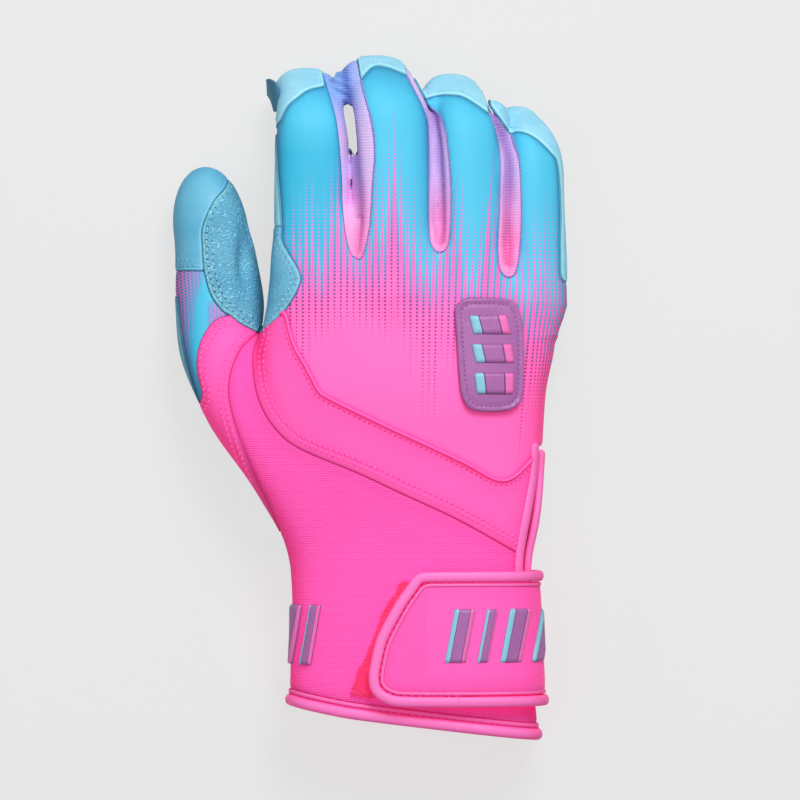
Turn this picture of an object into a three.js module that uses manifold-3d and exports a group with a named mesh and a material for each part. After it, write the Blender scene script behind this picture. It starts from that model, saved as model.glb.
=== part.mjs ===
// Batting glove for the right hand, filled out by an unseen hand and laid palm down.
// The fingers point along +Y, the back of the hand faces +Z and the little finger is at +X.
import * as THREE from "three";
import { mergeVertices } from "three/addons/utils/BufferGeometryUtils.js";
import Module from "manifold-3d";

const wasm = await Module();
wasm.setup();

// Driving sizes, in millimetres
const gloveLength = 242.8; // wrist opening to middle fingertip
const gloveWidth = 138.8; // thumb to little finger
const gloveHeight = 44; // at the knuckles
const wall = 1.5; // leather and printed panels
const seamGap = 0.3; // clear line between two sewn panels
const layerGap = 0.3; // clear space between two layers
const overrun = 20; // how far a cut runs past what it cuts
const farReach = gloveLength; // past every edge of the glove

// Seam cuts across the fingers and the sides
const partingDropShare = 0.12; // share of a finger's thickness below its axis
const handParting = 22; // height of the side seam of the hand and the cuff
const thumbPartingDropShare = 0.15;
const palmDepthShare = 0.75; // of a finger's thickness, less than the radius that it curls over

// Cuff, slit and strap
const hemBinding = { above: 0.9, below: 2.4 };
const slitHalf = 0.7;
const slitBinding = { width: 2.9, above: 0.9, below: 1.5, bottom: 14 };
const gusset = { halfWidth: 6, thickness: 1 };
const loopPatchThickness = 1;
const hookPatchThickness = 1;
const strap = { thickness: 2.5, rootBottom: 5, hingeHeight: 21 };
const strapClearance = slitBinding.above + layerGap; // beside the wrist
const tabBinding = { width: 3.3, above: 0.5, below: 0.4 };
const bars = { height: 1, slant: 3.6 };
const badge = { thickness: 1.8, rim: 1.6, rimHeight: 0.8 };
const piping = { width: 1.6, height: 1.2 };

// Faces round each section, and steps along rounded tips
const handFaces = 24;
const fingerFaces = 14;
const tipSteps = 3;
const curlSteps = 3;
const tipTurnDegrees = 78; // what the steps of a rounded tip go through
const sharpestTurnShare = 0.5; // of a line's offset that a corner may stretch

// Fingers: the sizes in millimetres, the root as shares of the glove's width and length.
// Each runs straight down a slope, curls over an arc and ends in a rounded tip on the floor.
const indexFinger = { width: 26.4, thickness: 21, straight: 58, curlRadius: 18, tipRun: 6 };
const middleFinger = { width: 29.2, thickness: 22, straight: 62, curlRadius: 18, tipRun: 6 };
const ringFinger = { width: 24.6, thickness: 21, straight: 57, curlRadius: 17, tipRun: 5 };
const littleFinger = { width: 20.6, thickness: 18.5, straight: 51, curlRadius: 15, tipRun: 5 };
const fingers = [
  { ...indexFinger, rootShares: [-0.146, 0.141], rollDegrees: 9, yawDegrees: -1.1, tipShare: 0.88 },
  { ...middleFinger, rootShares: [0.076, 0.141], rollDegrees: 20, yawDegrees: 0.4, tipShare: 0.91 },
  { ...ringFinger, rootShares: [0.269, 0.141], rollDegrees: 25, yawDegrees: -0.7, tipShare: 0.88 },
  { ...littleFinger, rootShares: [0.431, 0.132], rollDegrees: 30, yawDegrees: -2.2, tipShare: 0.77 },
];
const fingerSlopeDegrees = 8;
const fingerCurlDegrees = 62; // slope at the end of the arc
const fingerSquareness = 2.4;
const fingerRootShares = [[-0.483, 0.55], [-0.207, 0.85]]; // of its width, behind where it starts

// Hand and cuff, from the wrist opening to the crotches of the fingers: length, left and right edge
// as shares of the glove's length and width, bottom and top as shares of its height, then how far
// the section leans along the hand and how far it drops towards the little finger.
const handSquareness = 2.6;
const handStationShares = [
  [-0.482, -0.204, 0.43, -0.02, 0.92, -0.1, 0],
  [-0.42, -0.203, 0.421, -0.02, 0.93, -0.1, 0],
  [-0.33, -0.197, 0.41, -0.02, 0.92, -0.06, 0],
  [-0.24, -0.204, 0.41, 0.0, 0.89, -0.03, 0],
  [-0.18, -0.226, 0.437, -0.01, 0.9, 0, -0.01],
  [-0.1, -0.268, 0.441, -0.02, 0.95, 0, -0.03],
  [0, -0.29, 0.452, 0.03, 1.02, 0, -0.05],
  [0.07, -0.277, 0.472, 0.15, 1.0, -0.03, -0.08],
  [0.14, -0.252, 0.481, 0.31, 0.95, -0.08, -0.09],
  [0.19, -0.238, 0.478, 0.42, 0.87, -0.14, -0.09],
  [0.225, -0.205, 0.465, 0.47, 0.81, -0.2, -0.09],
  [0.25, -0.15, 0.41, 0.56, 0.72, -0.24, -0.09],
];

// Thumb, from inside the heel of the hand to its tip: place, half width, height and half thickness
// as shares of the glove's width and length and of the thumb's own width and thickness.
const thumb = { width: 29.5, thickness: 27, squareness: 2.3 };
const thumbStationShares = [
  [-0.1, -0.23, 0.3, 0.74, 0.42],
  [-0.17, -0.15, 0.42, 0.76, 0.56],
  [-0.235, -0.09, 0.44, 0.74, 0.6],
  [-0.327, -0.01, 0.46, 0.7, 0.57],
  [-0.378, 0.07, 0.5, 0.62, 0.52],
  [-0.387, 0.14, 0.52, 0.54, 0.48],
  [-0.396, 0.2, 0.48, 0.47, 0.45],
  [-0.41, 0.25, 0.435, 0.42, 0.41],
  [-0.42, 0.285, 0.38, 0.39, 0.37],
  [-0.424, 0.31, 0.3, 0.37, 0.3],
  [-0.427, 0.326, 0.2, 0.36, 0.19],
];
const thumbTipShares = { run: 0.08, flat: 0.05 }; // of the thumb's width, at its end
const mouthShare = -0.55; // where the open wrist ends, past the hem

// Seams seen from above, as shares of the glove's width and length from its middle
const gapSeamShares = [
  [
    [-0.132, 0.514], [-0.116, 0.47], [-0.083, 0.404], [-0.07, 0.333], [-0.065, 0.26],
    [-0.052, 0.216], [-0.032, 0.202], [-0.019, 0.205], [-0.001, 0.248], [0.006, 0.308],
    [0.012, 0.356], [0.004, 0.4], [-0.022, 0.458], [-0.04, 0.514],
  ],
  [
    [0.083, 0.514], [0.096, 0.476], [0.145, 0.416], [0.155, 0.376], [0.155, 0.243],
    [0.165, 0.217], [0.183, 0.211], [0.201, 0.226], [0.206, 0.271], [0.203, 0.338],
    [0.185, 0.403], [0.145, 0.436], [0.129, 0.514],
  ],
  [
    [0.257, 0.507], [0.265, 0.458], [0.311, 0.413], [0.334, 0.366], [0.336, 0.299],
    [0.331, 0.214], [0.336, 0.186], [0.354, 0.175], [0.372, 0.181], [0.382, 0.214],
    [0.387, 0.271], [0.382, 0.343], [0.362, 0.385], [0.334, 0.492],
  ],
];
const gapMiddleShares = [
  [[-0.08, 0.53], [-0.066, 0.42], [-0.038, 0.33], [-0.032, 0.202], [-0.032, 0.1]],
  [[0.11, 0.53], [0.15, 0.42], [0.173, 0.33], [0.182, 0.211], [0.182, 0.1]],
  [[0.3, 0.53], [0.335, 0.42], [0.354, 0.33], [0.354, 0.18], [0.354, 0.1]],
];
const capSeamShares = {
  index: [
    [-0.221, 0.248], [-0.229, 0.333], [-0.234, 0.4], [-0.206, 0.426], [-0.162, 0.447], [-0.114, 0.46],
  ],
  middle: [[-0.022, 0.464], [0.009, 0.483], [0.042, 0.483], [0.096, 0.471]],
  ring: [[0.145, 0.436], [0.175, 0.441], [0.208, 0.442], [0.244, 0.438], [0.309, 0.413]],
  little: [
    [0.362, 0.385], [0.385, 0.388], [0.423, 0.379], [0.464, 0.357], [0.482, 0.338], [0.49, 0.271],
    [0.485, 0.173], [0.526, 0.169],
  ],
};
const wrapSeamShares = [
  [-0.221, 0.248], [-0.219, 0.224], [-0.178, 0.181], [-0.18, 0.159], [-0.214, 0.126], [-0.262, 0.1],
  [-0.283, 0.093],
];
const bandTopShares = [
  [-0.214, 0.126], [-0.193, 0.078], [-0.162, 0.045], [-0.134, 0.015], [-0.121, 0.004], [-0.035, -0.021],
  [0.078, -0.052], [0.162, -0.074], [0.252, -0.099], [0.321, -0.121], [0.362, -0.119], [0.405, -0.096],
  [0.439, -0.072],
];
const bandBottomShares = [
  [-0.283, 0.093], [-0.298, 0.059], [-0.29, 0.011], [-0.265, -0.026], [-0.221, -0.058], [-0.162, -0.08],
  [-0.035, -0.11], [0.078, -0.14], [0.231, -0.181], [0.402, -0.236],
];
const saddleSeamShares = [
  [-0.288, 0.094], [-0.331, 0.068], [-0.357, 0.03], [-0.357, -0.01], [-0.331, -0.062], [-0.29, -0.121],
  [-0.265, -0.15], [-0.23, -0.2], [-0.21, -0.25],
];
const saddleEdgeShares = [
  [-0.357, 0.119], [-0.393, 0.112], [-0.426, 0.088], [-0.441, 0.059], [-0.441, 0.034], [-0.431, -0.002],
  [-0.47, -0.035],
];
const thumbSeamShares = [
  [-0.352, 0.36], [-0.367, 0.312], [-0.4, 0.286], [-0.428, 0.248], [-0.428, 0.214], [-0.423, 0.183],
  [-0.405, 0.148], [-0.375, 0.125], [-0.357, 0.119], [-0.331, 0.107], [-0.288, 0.094],
];
const thumbHemShares = [[-0.54, 0.186], [-0.485, 0.185], [-0.423, 0.183]];
const crotchShares = [[-0.275, 0.25], [-0.266, 0.185], [-0.263, 0.141], [-0.272, 0.112]];
const thenarSeamShares = [...crotchShares, [-0.245, 0.04], [-0.225, -0.03], [-0.25, -0.11], [-0.32, -0.17]];
const slitShares = [
  [0.439, -0.064], [0.444, -0.109], [0.431, -0.153], [0.41, -0.213], [0.402, -0.254], [0.412, -0.356],
  [0.418, -0.52],
];
const sideSeamShares = [[0.439, -0.064], [0.53, -0.064]];
const hemSeamShares = [[-0.26, -0.423], [-0.206, -0.428], [-0.05, -0.448], [0.334, -0.464], [0.5, -0.474]];
const wristSeamShares = [[-0.35, -0.237], [0.078, -0.257], [0.53, -0.257]];

// What closes each zone past the edge of the glove
const beyondShares = {
  index: [[-0.132, 0.514], [-0.3, 0.514], [-0.3, 0.25]],
  middle: [[0.083, 0.53], [-0.04, 0.53]],
  ring: [[0.257, 0.507], [0.129, 0.514]],
  little: [[0.56, 0.3], [0.56, 0.5], [0.334, 0.492]],
  leftOfIndex: [[-0.26, 0.53], [-0.26, 0.1]],
  rightOfLittle: [[0.6, 0.53], [0.6, 0.1]],
  thumb: [[-0.56, -0.25], [-0.56, 0.4], [-0.26, 0.4], [-0.262, 0.15]],
  thumbCap: [[-0.352, 0.4], [-0.54, 0.4]],
  thumbBack: [[-0.54, -0.03]],
  grained: [[-0.275, 0.4], [-0.352, 0.4]],
  thenar: [[-0.6, -0.17], [-0.6, 0.5], [-0.275, 0.5]],
  saddle: [[-0.47, -0.25]],
  hand: [[-0.6, -0.6], [0.6, -0.6], [0.6, 0.23], [-0.6, 0.23]],
  palm: [[0.56, 0.55], [-0.6, 0.55], [-0.6, -0.2]],
  cuff: [[-0.3, -0.52]],
  pastSlit: [[0.6, -0.52], [0.6, -0.064]],
  hem: [[0.56, -0.56], [-0.35, -0.56]],
};

// Outlines of what is sewn or moulded on top
const tabEdgeShares = [
  [0.53, -0.255], [0.135, -0.255], [0.112, -0.262], [0.095, -0.276], [0.068, -0.298], [0.024, -0.344],
  [0.01, -0.368], [-0.002, -0.404], [0.0, -0.424], [0.012, -0.436], [0.04, -0.446], [0.11, -0.452],
  [0.53, -0.452],
];
const loopPatchShares = [
  [0.088, -0.272], [-0.045, -0.434], [0.006, -0.441], [0.28, -0.441], [0.28, -0.272],
];
const hookPatchShares = [[0.13, -0.285], [0.06, -0.37], [0.045, -0.43], [0.26, -0.43], [0.26, -0.285]];
const badgeShares = [
  [0.215, 0.126], [0.232, 0.139], [0.262, 0.144], [0.352, 0.141], [0.378, 0.127], [0.39, 0.085],
  [0.387, 0.01], [0.37, -0.014], [0.33, -0.022], [0.262, -0.02], [0.236, -0.004], [0.226, 0.03],
];
const badgeBarShares = [
  [[0.25, 0.118], [0.345, 0.118], [0.357, 0.09], [0.262, 0.09]],
  [[0.256, 0.076], [0.358, 0.076], [0.364, 0.048], [0.268, 0.048]],
  [[0.262, 0.034], [0.362, 0.034], [0.36, 0.004], [0.27, 0.004]],
];
const tabBarRowShares = {
  bottom: -0.388, top: -0.309, starts: [0.19, 0.272, 0.33, 0.41], widths: [0.055, 0.03, 0.055, 0.03],
};
const cuffBarRowShares = { bottom: -0.392, top: -0.304, starts: [-0.226, -0.178], widths: [0.03, 0.03] };

const paint = {
  palm: [0x8fd0e6, 0.6],
  grained: [0x73c2e0, 0.65],
  cap: [0x78c8e6, 0.6],
  print: [0xff77c9, 0.55],
  smooth: [0xff6ebf, 0.5],
  knit: [0xfd6bc4, 0.85],
  binding: [0xf267b8, 0.55],
  fourchette: [0xe6bcf2, 0.85],
  loop: [0xe1366f, 0.95],
  hook: [0xc94f9a, 0.9],
  rubber: [0xbb75b8, 0.45],
};

const radians = THREE.MathUtils.degToRad;
const turnAbout = (axis, degrees) => new THREE.Quaternion().setFromAxisAngle(axis, radians(degrees));
const place = ([x, y]) => [x * gloveWidth, y * gloveLength];

// Solids

function solidFrom(positions, triangles) {
  const mesh = new wasm.Mesh({
    numProp: 3,
    vertProperties: new Float32Array(positions.flatMap((p) => [p.x, p.y, p.z])),
    triVerts: new Uint32Array(triangles.flat()),
  });
  return new wasm.Manifold(mesh);
}

function solidOf(geometry) {
  geometry.deleteAttribute("normal");
  geometry.deleteAttribute("uv");
  const merged = mergeVertices(geometry);
  return new wasm.Manifold(
    new wasm.Mesh({
      numProp: 3,
      vertProperties: merged.attributes.position.array,
      triVerts: new Uint32Array(merged.index.array),
    }),
  );
}

// A closed body through rings of points, each ring turning the same way
function loft(rings) {
  const faces = rings[0].length;
  const middle = (ring) => ring.reduce((sum, p) => sum.add(p), new THREE.Vector3()).divideScalar(faces);
  const positions = [...rings.flat(), middle(rings[0]), middle(rings.at(-1))];
  const start = positions.length - 2;
  const end = positions.length - 1;
  const triangles = [];
  const at = (ring, face) => ring * faces + (face % faces);
  for (let ring = 0; ring < rings.length - 1; ring++)
    for (let face = 0; face < faces; face++) {
      triangles.push([at(ring, face), at(ring + 1, face), at(ring + 1, face + 1)]);
      triangles.push([at(ring, face), at(ring + 1, face + 1), at(ring, face + 1)]);
    }
  for (let face = 0; face < faces; face++) {
    triangles.push([start, at(0, face), at(0, face + 1)]);
    triangles.push([end, at(rings.length - 1, face + 1), at(rings.length - 1, face)]);
  }
  return solidFrom(positions, triangles);
}

function prism(points, bottom = -overrun, top = gloveHeight + overrun) {
  const shape = new THREE.Shape(points.map(([x, y]) => new THREE.Vector2(x, y)));
  const geometry = new THREE.ExtrudeGeometry(shape, { depth: top - bottom, bevelEnabled: false });
  return solidOf(geometry.translate(0, 0, bottom));
}

// The outline between two offsets of a line, counted to its right
function stripOutline(points, from, to) {
  const sides = [from, to].map((offset) =>
    points.map(([x, y], i) => {
      const before = points[Math.max(i - 1, 0)];
      const after = points[Math.min(i + 1, points.length - 1)];
      const into = new THREE.Vector2(x - before[0], y - before[1]).normalize();
      const out = new THREE.Vector2(after[0] - x, after[1] - y).normalize();
      if (i === 0) into.copy(out);
      if (i === points.length - 1) out.copy(into);
      const along = into.clone().add(out).normalize();
      const reach = offset / Math.max(along.dot(into), sharpestTurnShare);
      return [x + along.y * reach, y - along.x * reach];
    }),
  );
  return [...sides[0], ...sides[1].reverse()];
}

// A closed outline that turns clockwise, drawn in by a width
function inset(points, width) {
  const ends = [points.at(-1), ...points, points[0]];
  const sides = stripOutline(ends, width, 0);
  return sides.slice(1, points.length + 1);
}

const strip = (points, from, to, ...heights) => prism(stripOutline(points, from, to), ...heights);
const zone = (...lines) => prism(lines.flat().map(place));
const seam = (shares, width = seamGap) => strip(shares.map(place), -width / 2, width / 2);
const union = (solids) => solids.reduce((all, solid) => all.add(solid));

// Sections and frames

function superellipse(halfWidth, halfHeight, squareness, faces) {
  return Array.from({ length: faces }, (_, i) => {
    const angle = (i / faces) * 2 * Math.PI;
    const bulge = (value) => Math.sign(value) * Math.abs(value) ** (2 / squareness);
    return [halfWidth * bulge(Math.cos(angle)), halfHeight * bulge(Math.sin(angle))];
  });
}

const ringAt = ({ centre, side, up }, section) =>
  section.map(([x, z]) => centre.clone().addScaledVector(side, x).addScaledVector(up, z));

// The places along a finger, each with its own size from 0 to 1, from its root to its rounded tip
function fingerFrames(finger, offset) {
  const tipRadius = (finger.thickness * finger.tipShare) / 2;
  const slope = radians(fingerSlopeDegrees);
  const curl = radians(fingerCurlDegrees);
  const stops = fingerRootShares.map(([back, size]) => (
    { along: back * finger.width, angle: slope, size }
  ));
  stops.push({ along: 0, angle: slope, size: 1 });
  stops.push({ along: finger.straight, angle: slope, size: 1 });
  const flat = stops.map(({ along, angle, size }) => ({
    y: along * Math.cos(slope), z: -along * Math.sin(slope), angle, size,
  }));
  const knuckle = flat.at(-1);
  for (let step = 1; step <= curlSteps; step++) {
    const share = step / curlSteps;
    const angle = slope + (curl - slope) * share;
    flat.push({
      y: knuckle.y + finger.curlRadius * (Math.sin(angle) - Math.sin(slope)),
      z: knuckle.z - finger.curlRadius * (Math.cos(slope) - Math.cos(angle)),
      angle,
      size: 1 - (1 - finger.tipShare) * share,
    });
  }
  const end = flat.at(-1);
  const tipLength = tipRadius + offset;
  for (let step = 0; step <= tipSteps; step++) {
    const turn = (step / tipSteps) * radians(tipTurnDegrees);
    const run = finger.tipRun + tipLength * Math.sin(turn);
    flat.push({
      y: end.y + run * Math.cos(curl),
      z: end.z - run * Math.sin(curl),
      angle: curl,
      size: end.size * Math.cos(turn),
      round: Math.cos(turn),
    });
  }
  const drop = -end.z + finger.tipRun * Math.sin(curl);
  const turned = turnAbout(new THREE.Vector3(0, 0, 1), finger.yawDegrees)
    .multiply(turnAbout(new THREE.Vector3(0, 1, 0), finger.rollDegrees));
  const [x, y] = place(finger.rootShares);
  const root = new THREE.Vector3(x, y, tipRadius + drop * Math.cos(radians(finger.rollDegrees)));
  return flat.map((stop) => ({
    centre: new THREE.Vector3(0, stop.y, stop.z).applyQuaternion(turned).add(root),
    side: new THREE.Vector3(1, 0, 0).applyQuaternion(turned),
    up: new THREE.Vector3(0, Math.sin(stop.angle), Math.cos(stop.angle)).applyQuaternion(turned),
    along: new THREE.Vector3(0, Math.cos(stop.angle), -Math.sin(stop.angle)).applyQuaternion(turned),
    size: stop.size,
    inTip: stop.round !== undefined,
    grow: offset * (stop.round ?? 1),
  }));
}

function fingerBody(finger, offset) {
  const rings = fingerFrames(finger, offset).map((frame) =>
    ringAt(frame, superellipse(
      (finger.width / 2) * frame.size + frame.grow,
      (finger.thickness / 2) * frame.size + frame.grow,
      fingerSquareness,
      fingerFaces,
    )),
  );
  return loft(rings);
}

function handBody(offset, lift = 0, stations = handStationShares) {
  const rings = stations.map(([y, left, right, bottom, top, lean, tilt], index) => {
    const ends = index === stations.length - 1 ? offset : 0;
    const middle = ((left + right) / 2) * gloveWidth;
    const low = bottom * gloveHeight;
    const high = top * gloveHeight + lift;
    const section = superellipse(
      ((right - left) / 2) * gloveWidth + offset, (high - low) / 2 + offset, handSquareness, handFaces,
    );
    return section.map(([x, z]) =>
      new THREE.Vector3(middle + x, y * gloveLength + ends + lean * x, (high + low) / 2 + z + tilt * x),
    );
  });
  return loft(rings);
}

function thumbFrames() {
  const centres = thumbStationShares.map(([x, y, , height]) => {
    const [px, py] = place([x, y]);
    return new THREE.Vector3(px, py, height * thumb.thickness);
  });
  return centres.map((centre, i) => {
    const before = centres[Math.max(i - 1, 0)];
    const after = centres[Math.min(i + 1, centres.length - 1)];
    const along = after.clone().sub(before).setZ(0).normalize();
    return { centre, side: new THREE.Vector3(along.y, -along.x, 0), up: new THREE.Vector3(0, 0, 1), along };
  });
}

function thumbBody(offset) {
  const frames = thumbFrames();
  const rings = frames.map((frame, i) => {
    const [, , wide, , thick] = thumbStationShares[i];
    return ringAt(frame, superellipse(
      wide * thumb.width + offset, thick * thumb.thickness + offset, thumb.squareness, fingerFaces,
    ));
  });
  const last = frames.at(-1);
  const centre = last.centre.clone().addScaledVector(last.along, thumbTipShares.run * thumb.width + offset);
  const flat = thumbTipShares.flat * thumb.width;
  rings.push(ringAt({ ...last, centre }, superellipse(flat, flat, thumb.squareness, fingerFaces)));
  return loft(rings);
}

const body = (offset) =>
  union([handBody(offset), thumbBody(offset), ...fingers.map((finger) => fingerBody(finger, offset))]);

// Cutters

const box = (low, high) =>
  prism([[low[0], low[1]], [high[0], low[1]], [high[0], high[1]], [low[0], high[1]]], low[2], high[2]);
const aboveHeight = (height) => box([-farReach, -farReach, height], [farReach, farReach, farReach]);
const aboveFloor = aboveHeight(0);

const thumbZone = zone(saddleSeamShares, beyondShares.thumb);

// What lies on the palm's side of a finger's parting plane, between the middles of its gaps
function fingerPalmSide(finger, index, rise) {
  const rings = fingerFrames(finger, 0).map(({ centre, along, inTip }) => {
    const half = finger.width / 2 + overrun / 2;
    const top = rise + finger.thickness * (inTip ? 1 : -partingDropShare);
    const side = new THREE.Vector3(along.y, -along.x, 0).normalize();
    const up = new THREE.Vector3().crossVectors(side, along);
    const bottom = -finger.thickness * palmDepthShare;
    return ringAt({ centre, side, up }, [[half, bottom], [half, top], [-half, top], [-half, bottom]]);
  });
  const tip = rings.at(-1).map((p) => p.clone().add(new THREE.Vector3(0, 0, -finger.thickness)));
  const left = gapMiddleShares[index - 1] ?? beyondShares.leftOfIndex;
  const right = gapMiddleShares[index] ?? beyondShares.rightOfLittle;
  const edges = [left, right].map((line) => seam(line, seamGap + 2 * rise));
  return loft([...rings, tip]).intersect(union([zone(left, right.toReversed()), ...edges]));
}

function palmSide(rise) {
  const hand = prism(beyondShares.hand.map(place), -overrun, handParting + rise).subtract(thumbZone);
  const rings = thumbFrames().map((frame) => {
    const top = rise - thumb.thickness * thumbPartingDropShare;
    const bottom = -thumb.thickness;
    const half = thumb.width;
    return ringAt(frame, [[half, bottom], [half, top], [-half, top], [-half, bottom]]);
  });
  const forward = new THREE.Vector3(0, overrun, 0);
  const thumbBlock = loft([...rings, rings.at(-1).map((p) => p.clone().add(forward))])
    .intersect(thumbZone.add(seam(saddleSeamShares, seamGap + 2 * rise)));
  return union([hand, thumbBlock, ...fingers.map((finger, i) => fingerPalmSide(finger, i, rise))]);
}

const gapSeams = gapSeamShares.map((shares) => shares.map(place));
const gapZones = gapSeams.map((points) => prism(points));
const upperSeams = union([
  ...gapSeamShares, ...Object.values(capSeamShares), wrapSeamShares, bandTopShares, bandBottomShares,
  saddleSeamShares, saddleEdgeShares, thumbSeamShares, thumbHemShares, hemSeamShares, sideSeamShares,
].map((shares) => seam(shares)));
const lowerSeams = union(
  [thenarSeamShares, hemSeamShares, wristSeamShares].map((shares) => seam(shares)),
);
const slitLine = slitShares.map(place);

// Zones seen from above
const rollOverZones = union([
  zone(capSeamShares.index, beyondShares.index),
  zone(capSeamShares.middle, beyondShares.middle),
  zone(capSeamShares.ring, beyondShares.ring),
  zone(capSeamShares.little, beyondShares.little),
]);
const wrapZone = zone(wrapSeamShares, crotchShares.toReversed());
const bandZone = zone(bandTopShares, bandBottomShares.toReversed());
const backZone = zone(
  capSeamShares.index, gapSeamShares[0].slice(1, -1), capSeamShares.middle, gapSeamShares[1].slice(1, -1),
  capSeamShares.ring, gapSeamShares[2].slice(1, -1), capSeamShares.little, sideSeamShares.toReversed(),
  bandTopShares.toReversed(), wrapSeamShares.slice(0, 5).toReversed(),
);
const grainedZone = zone(thumbSeamShares, crotchShares.toReversed(), beyondShares.grained);
const thumbCapZone = zone(
  thumbHemShares, thumbSeamShares.slice(0, 6).toReversed(), beyondShares.thumbCap,
);
const thumbBackZone = zone(
  thumbHemShares, thumbSeamShares.slice(5, 9), saddleEdgeShares, beyondShares.thumbBack,
);
const saddleZone = zone(
  saddleEdgeShares, beyondShares.saddle, saddleSeamShares.toReversed(),
  thumbSeamShares.slice(8).toReversed(),
);
const hemZone = zone(hemSeamShares, beyondShares.hem);
const cuffZone = zone(
  bandBottomShares, slitShares.slice(3), beyondShares.cuff, saddleSeamShares.toReversed(),
).subtract(hemZone);
const pastSlitZone = zone(slitShares, beyondShares.pastSlit);
const thenarZone = zone(thenarSeamShares, beyondShares.thenar);
const palmZone = zone(wristSeamShares, beyondShares.palm);

// The glove's skin, with its wrist and fingers open inside
const extended = [[mouthShare, ...handStationShares[0].slice(1)], ...handStationShares.slice(1)];

function inside(offset) {
  return union([
    handBody(offset, 0, extended),
    thumbBody(offset),
    ...fingers.map((finger) => fingerBody(finger, offset)),
  ]).intersect(aboveHeight(-offset));
}

const outer = body(0);
const hollow = inside(-wall);
const skin = outer.subtract(hollow).intersect(aboveFloor);
const lower = skin.intersect(palmSide(0));
const partedUpper = skin.subtract(union([0, 0.5, 1].map((share) => palmSide(share * seamGap))));
const slitSide = slitHalf + slitBinding.width;
const slitCut = strip(slitLine, -slitSide - seamGap, slitSide + seamGap);
const tabTop = tabEdgeShares[0][1] * gloveLength;
const besideSlit = (rise) =>
  box([0, tabTop + rise, slitBinding.bottom + rise], [farReach, farReach, farReach]);
const badgeOutline = badgeShares.map(place);
const upper = partedUpper.subtract(upperSeams).subtract(rollOverZones).subtract(slitCut);
const sewn = skin.subtract(palmSide(-wall)).subtract(upperSeams);
const under = lower.subtract(lowerSeams).subtract(slitCut.intersect(besideSlit(0)));

// A layer that follows the glove at a height over its skin
const layer = (from, to) => body(to).subtract(body(from)).intersect(aboveFloor);

const onBack = aboveHeight(handParting + seamGap);

// The strap's own shell, lifted over the patches on the back of the wrist
const strapLift = 3 * layerGap + loopPatchThickness + hookPatchThickness - strapClearance;
const strapBody = (offset) => handBody(strapClearance + offset, strapLift);
const strapShell = (from, to) => strapBody(to).subtract(strapBody(from));

const pieces = {};

function palm() {
  const rolled = sewn.intersect(rollOverZones);
  pieces.palm_leather = under.intersect(palmZone).subtract(thenarZone).add(rolled);
  const rolledThumb = sewn.intersect(grainedZone);
  pieces.thumb_palm_leather = under.intersect(palmZone).intersect(thenarZone).add(rolledThumb);
}

function backOfHand() {
  pieces.back_panel = upper.intersect(backZone);
  gapZones.forEach((gap, i) => {
    pieces[`fourchette_${["index_middle", "middle_ring", "ring_little"][i]}`] = upper.intersect(gap);
  });
  pieces.index_side_wrap = upper.intersect(wrapZone);
  pieces.wrist_band = upper.intersect(bandZone);
  const line = bandTopShares.map(place);
  pieces.band_piping = layer(layerGap, layerGap + piping.height)
    .intersect(strip(line, -piping.width / 2, piping.width / 2))
    .intersect(onBack)
    .subtract(slitCut);
}

function thumbPanels() {
  pieces.thumb_cap = upper.intersect(thumbCapZone);
  pieces.thumb_back_panel = upper.intersect(thumbBackZone);
  pieces.thumb_saddle = upper.intersect(saddleZone);
}

function cuff() {
  pieces.cuff_back_knit = upper.intersect(cuffZone);
  const pastSlit = sewn.subtract(slitCut).subtract(hemZone).intersect(pastSlitZone);
  const palmPart = under.subtract(palmZone).subtract(hemZone);
  const side = box([0, -farReach, handParting - wall], [farReach, farReach, farReach]);
  pieces.cuff_palm_knit = palmPart.add(pastSlit.intersect(side));
  const bound = handBody(hemBinding.above).subtract(handBody(-hemBinding.below, 0, extended));
  pieces.hem_binding = bound.intersect(aboveFloor).intersect(hemZone).subtract(seam(hemSeamShares))
    .subtract(strip(slitLine, -slitHalf, slitHalf, handParting));
}

function slit() {
  const shell = layer(-slitBinding.below, slitBinding.above)
    .subtract(hemZone)
    .subtract(seam(hemSeamShares));
  const raised = shell.intersect(onBack.add(besideSlit(seamGap)));
  pieces.slit_binding_left = raised.intersect(strip(slitLine, slitHalf, slitSide));
  pieces.slit_binding_right = raised.intersect(strip(slitLine, -slitSide, -slitHalf));
  const back = wall + layerGap;
  pieces.slit_gusset = layer(-back - gusset.thickness, -back)
    .intersect(strip(slitLine, -gusset.halfWidth, gusset.halfWidth, handParting + seamGap))
    .subtract(hemZone);
}

function patches() {
  pieces.loop_patch = layer(layerGap, layerGap + loopPatchThickness)
    .intersect(zone(loopPatchShares)).intersect(onBack);
  pieces.hook_patch = strapShell(-layerGap - hookPatchThickness, -layerGap)
    .intersect(zone(hookPatchShares)).intersect(onBack);
}

function strapPieces() {
  const edge = tabEdgeShares.map(place);
  const tabBottom = edge.at(-1)[1];
  const free = prism(edge, strap.hingeHeight + seamGap / 2);
  const border = strip(edge, -tabBinding.width, 0, strap.hingeHeight + seamGap / 2);
  const cut = strip(edge, -tabBinding.width - seamGap, overrun, strap.hingeHeight);
  pieces.strap_tab = strapShell(0, strap.thickness).intersect(free).subtract(cut);
  pieces.tab_binding = strapShell(-tabBinding.below, strap.thickness + tabBinding.above).intersect(border);
  const side = box([0, tabBottom, strap.rootBottom], [farReach, tabTop, strap.hingeHeight - seamGap / 2]);
  pieces.strap_root = strapBody(strap.thickness).subtract(body(layerGap)).intersect(side);
}

// Slanted bars standing in a row, as moulded figures do, each cut from the layer they stand in
function barRow(name, from, { bottom, top, starts, widths }) {
  const slant = bars.slant / gloveWidth;
  starts.forEach((start, i) => {
    const end = start + widths[i];
    const bar = zone([[start, bottom], [end, bottom], [end + slant, top], [start + slant, top]]);
    pieces[`${name}_${i + 1}`] = from.intersect(bar);
  });
}

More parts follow.
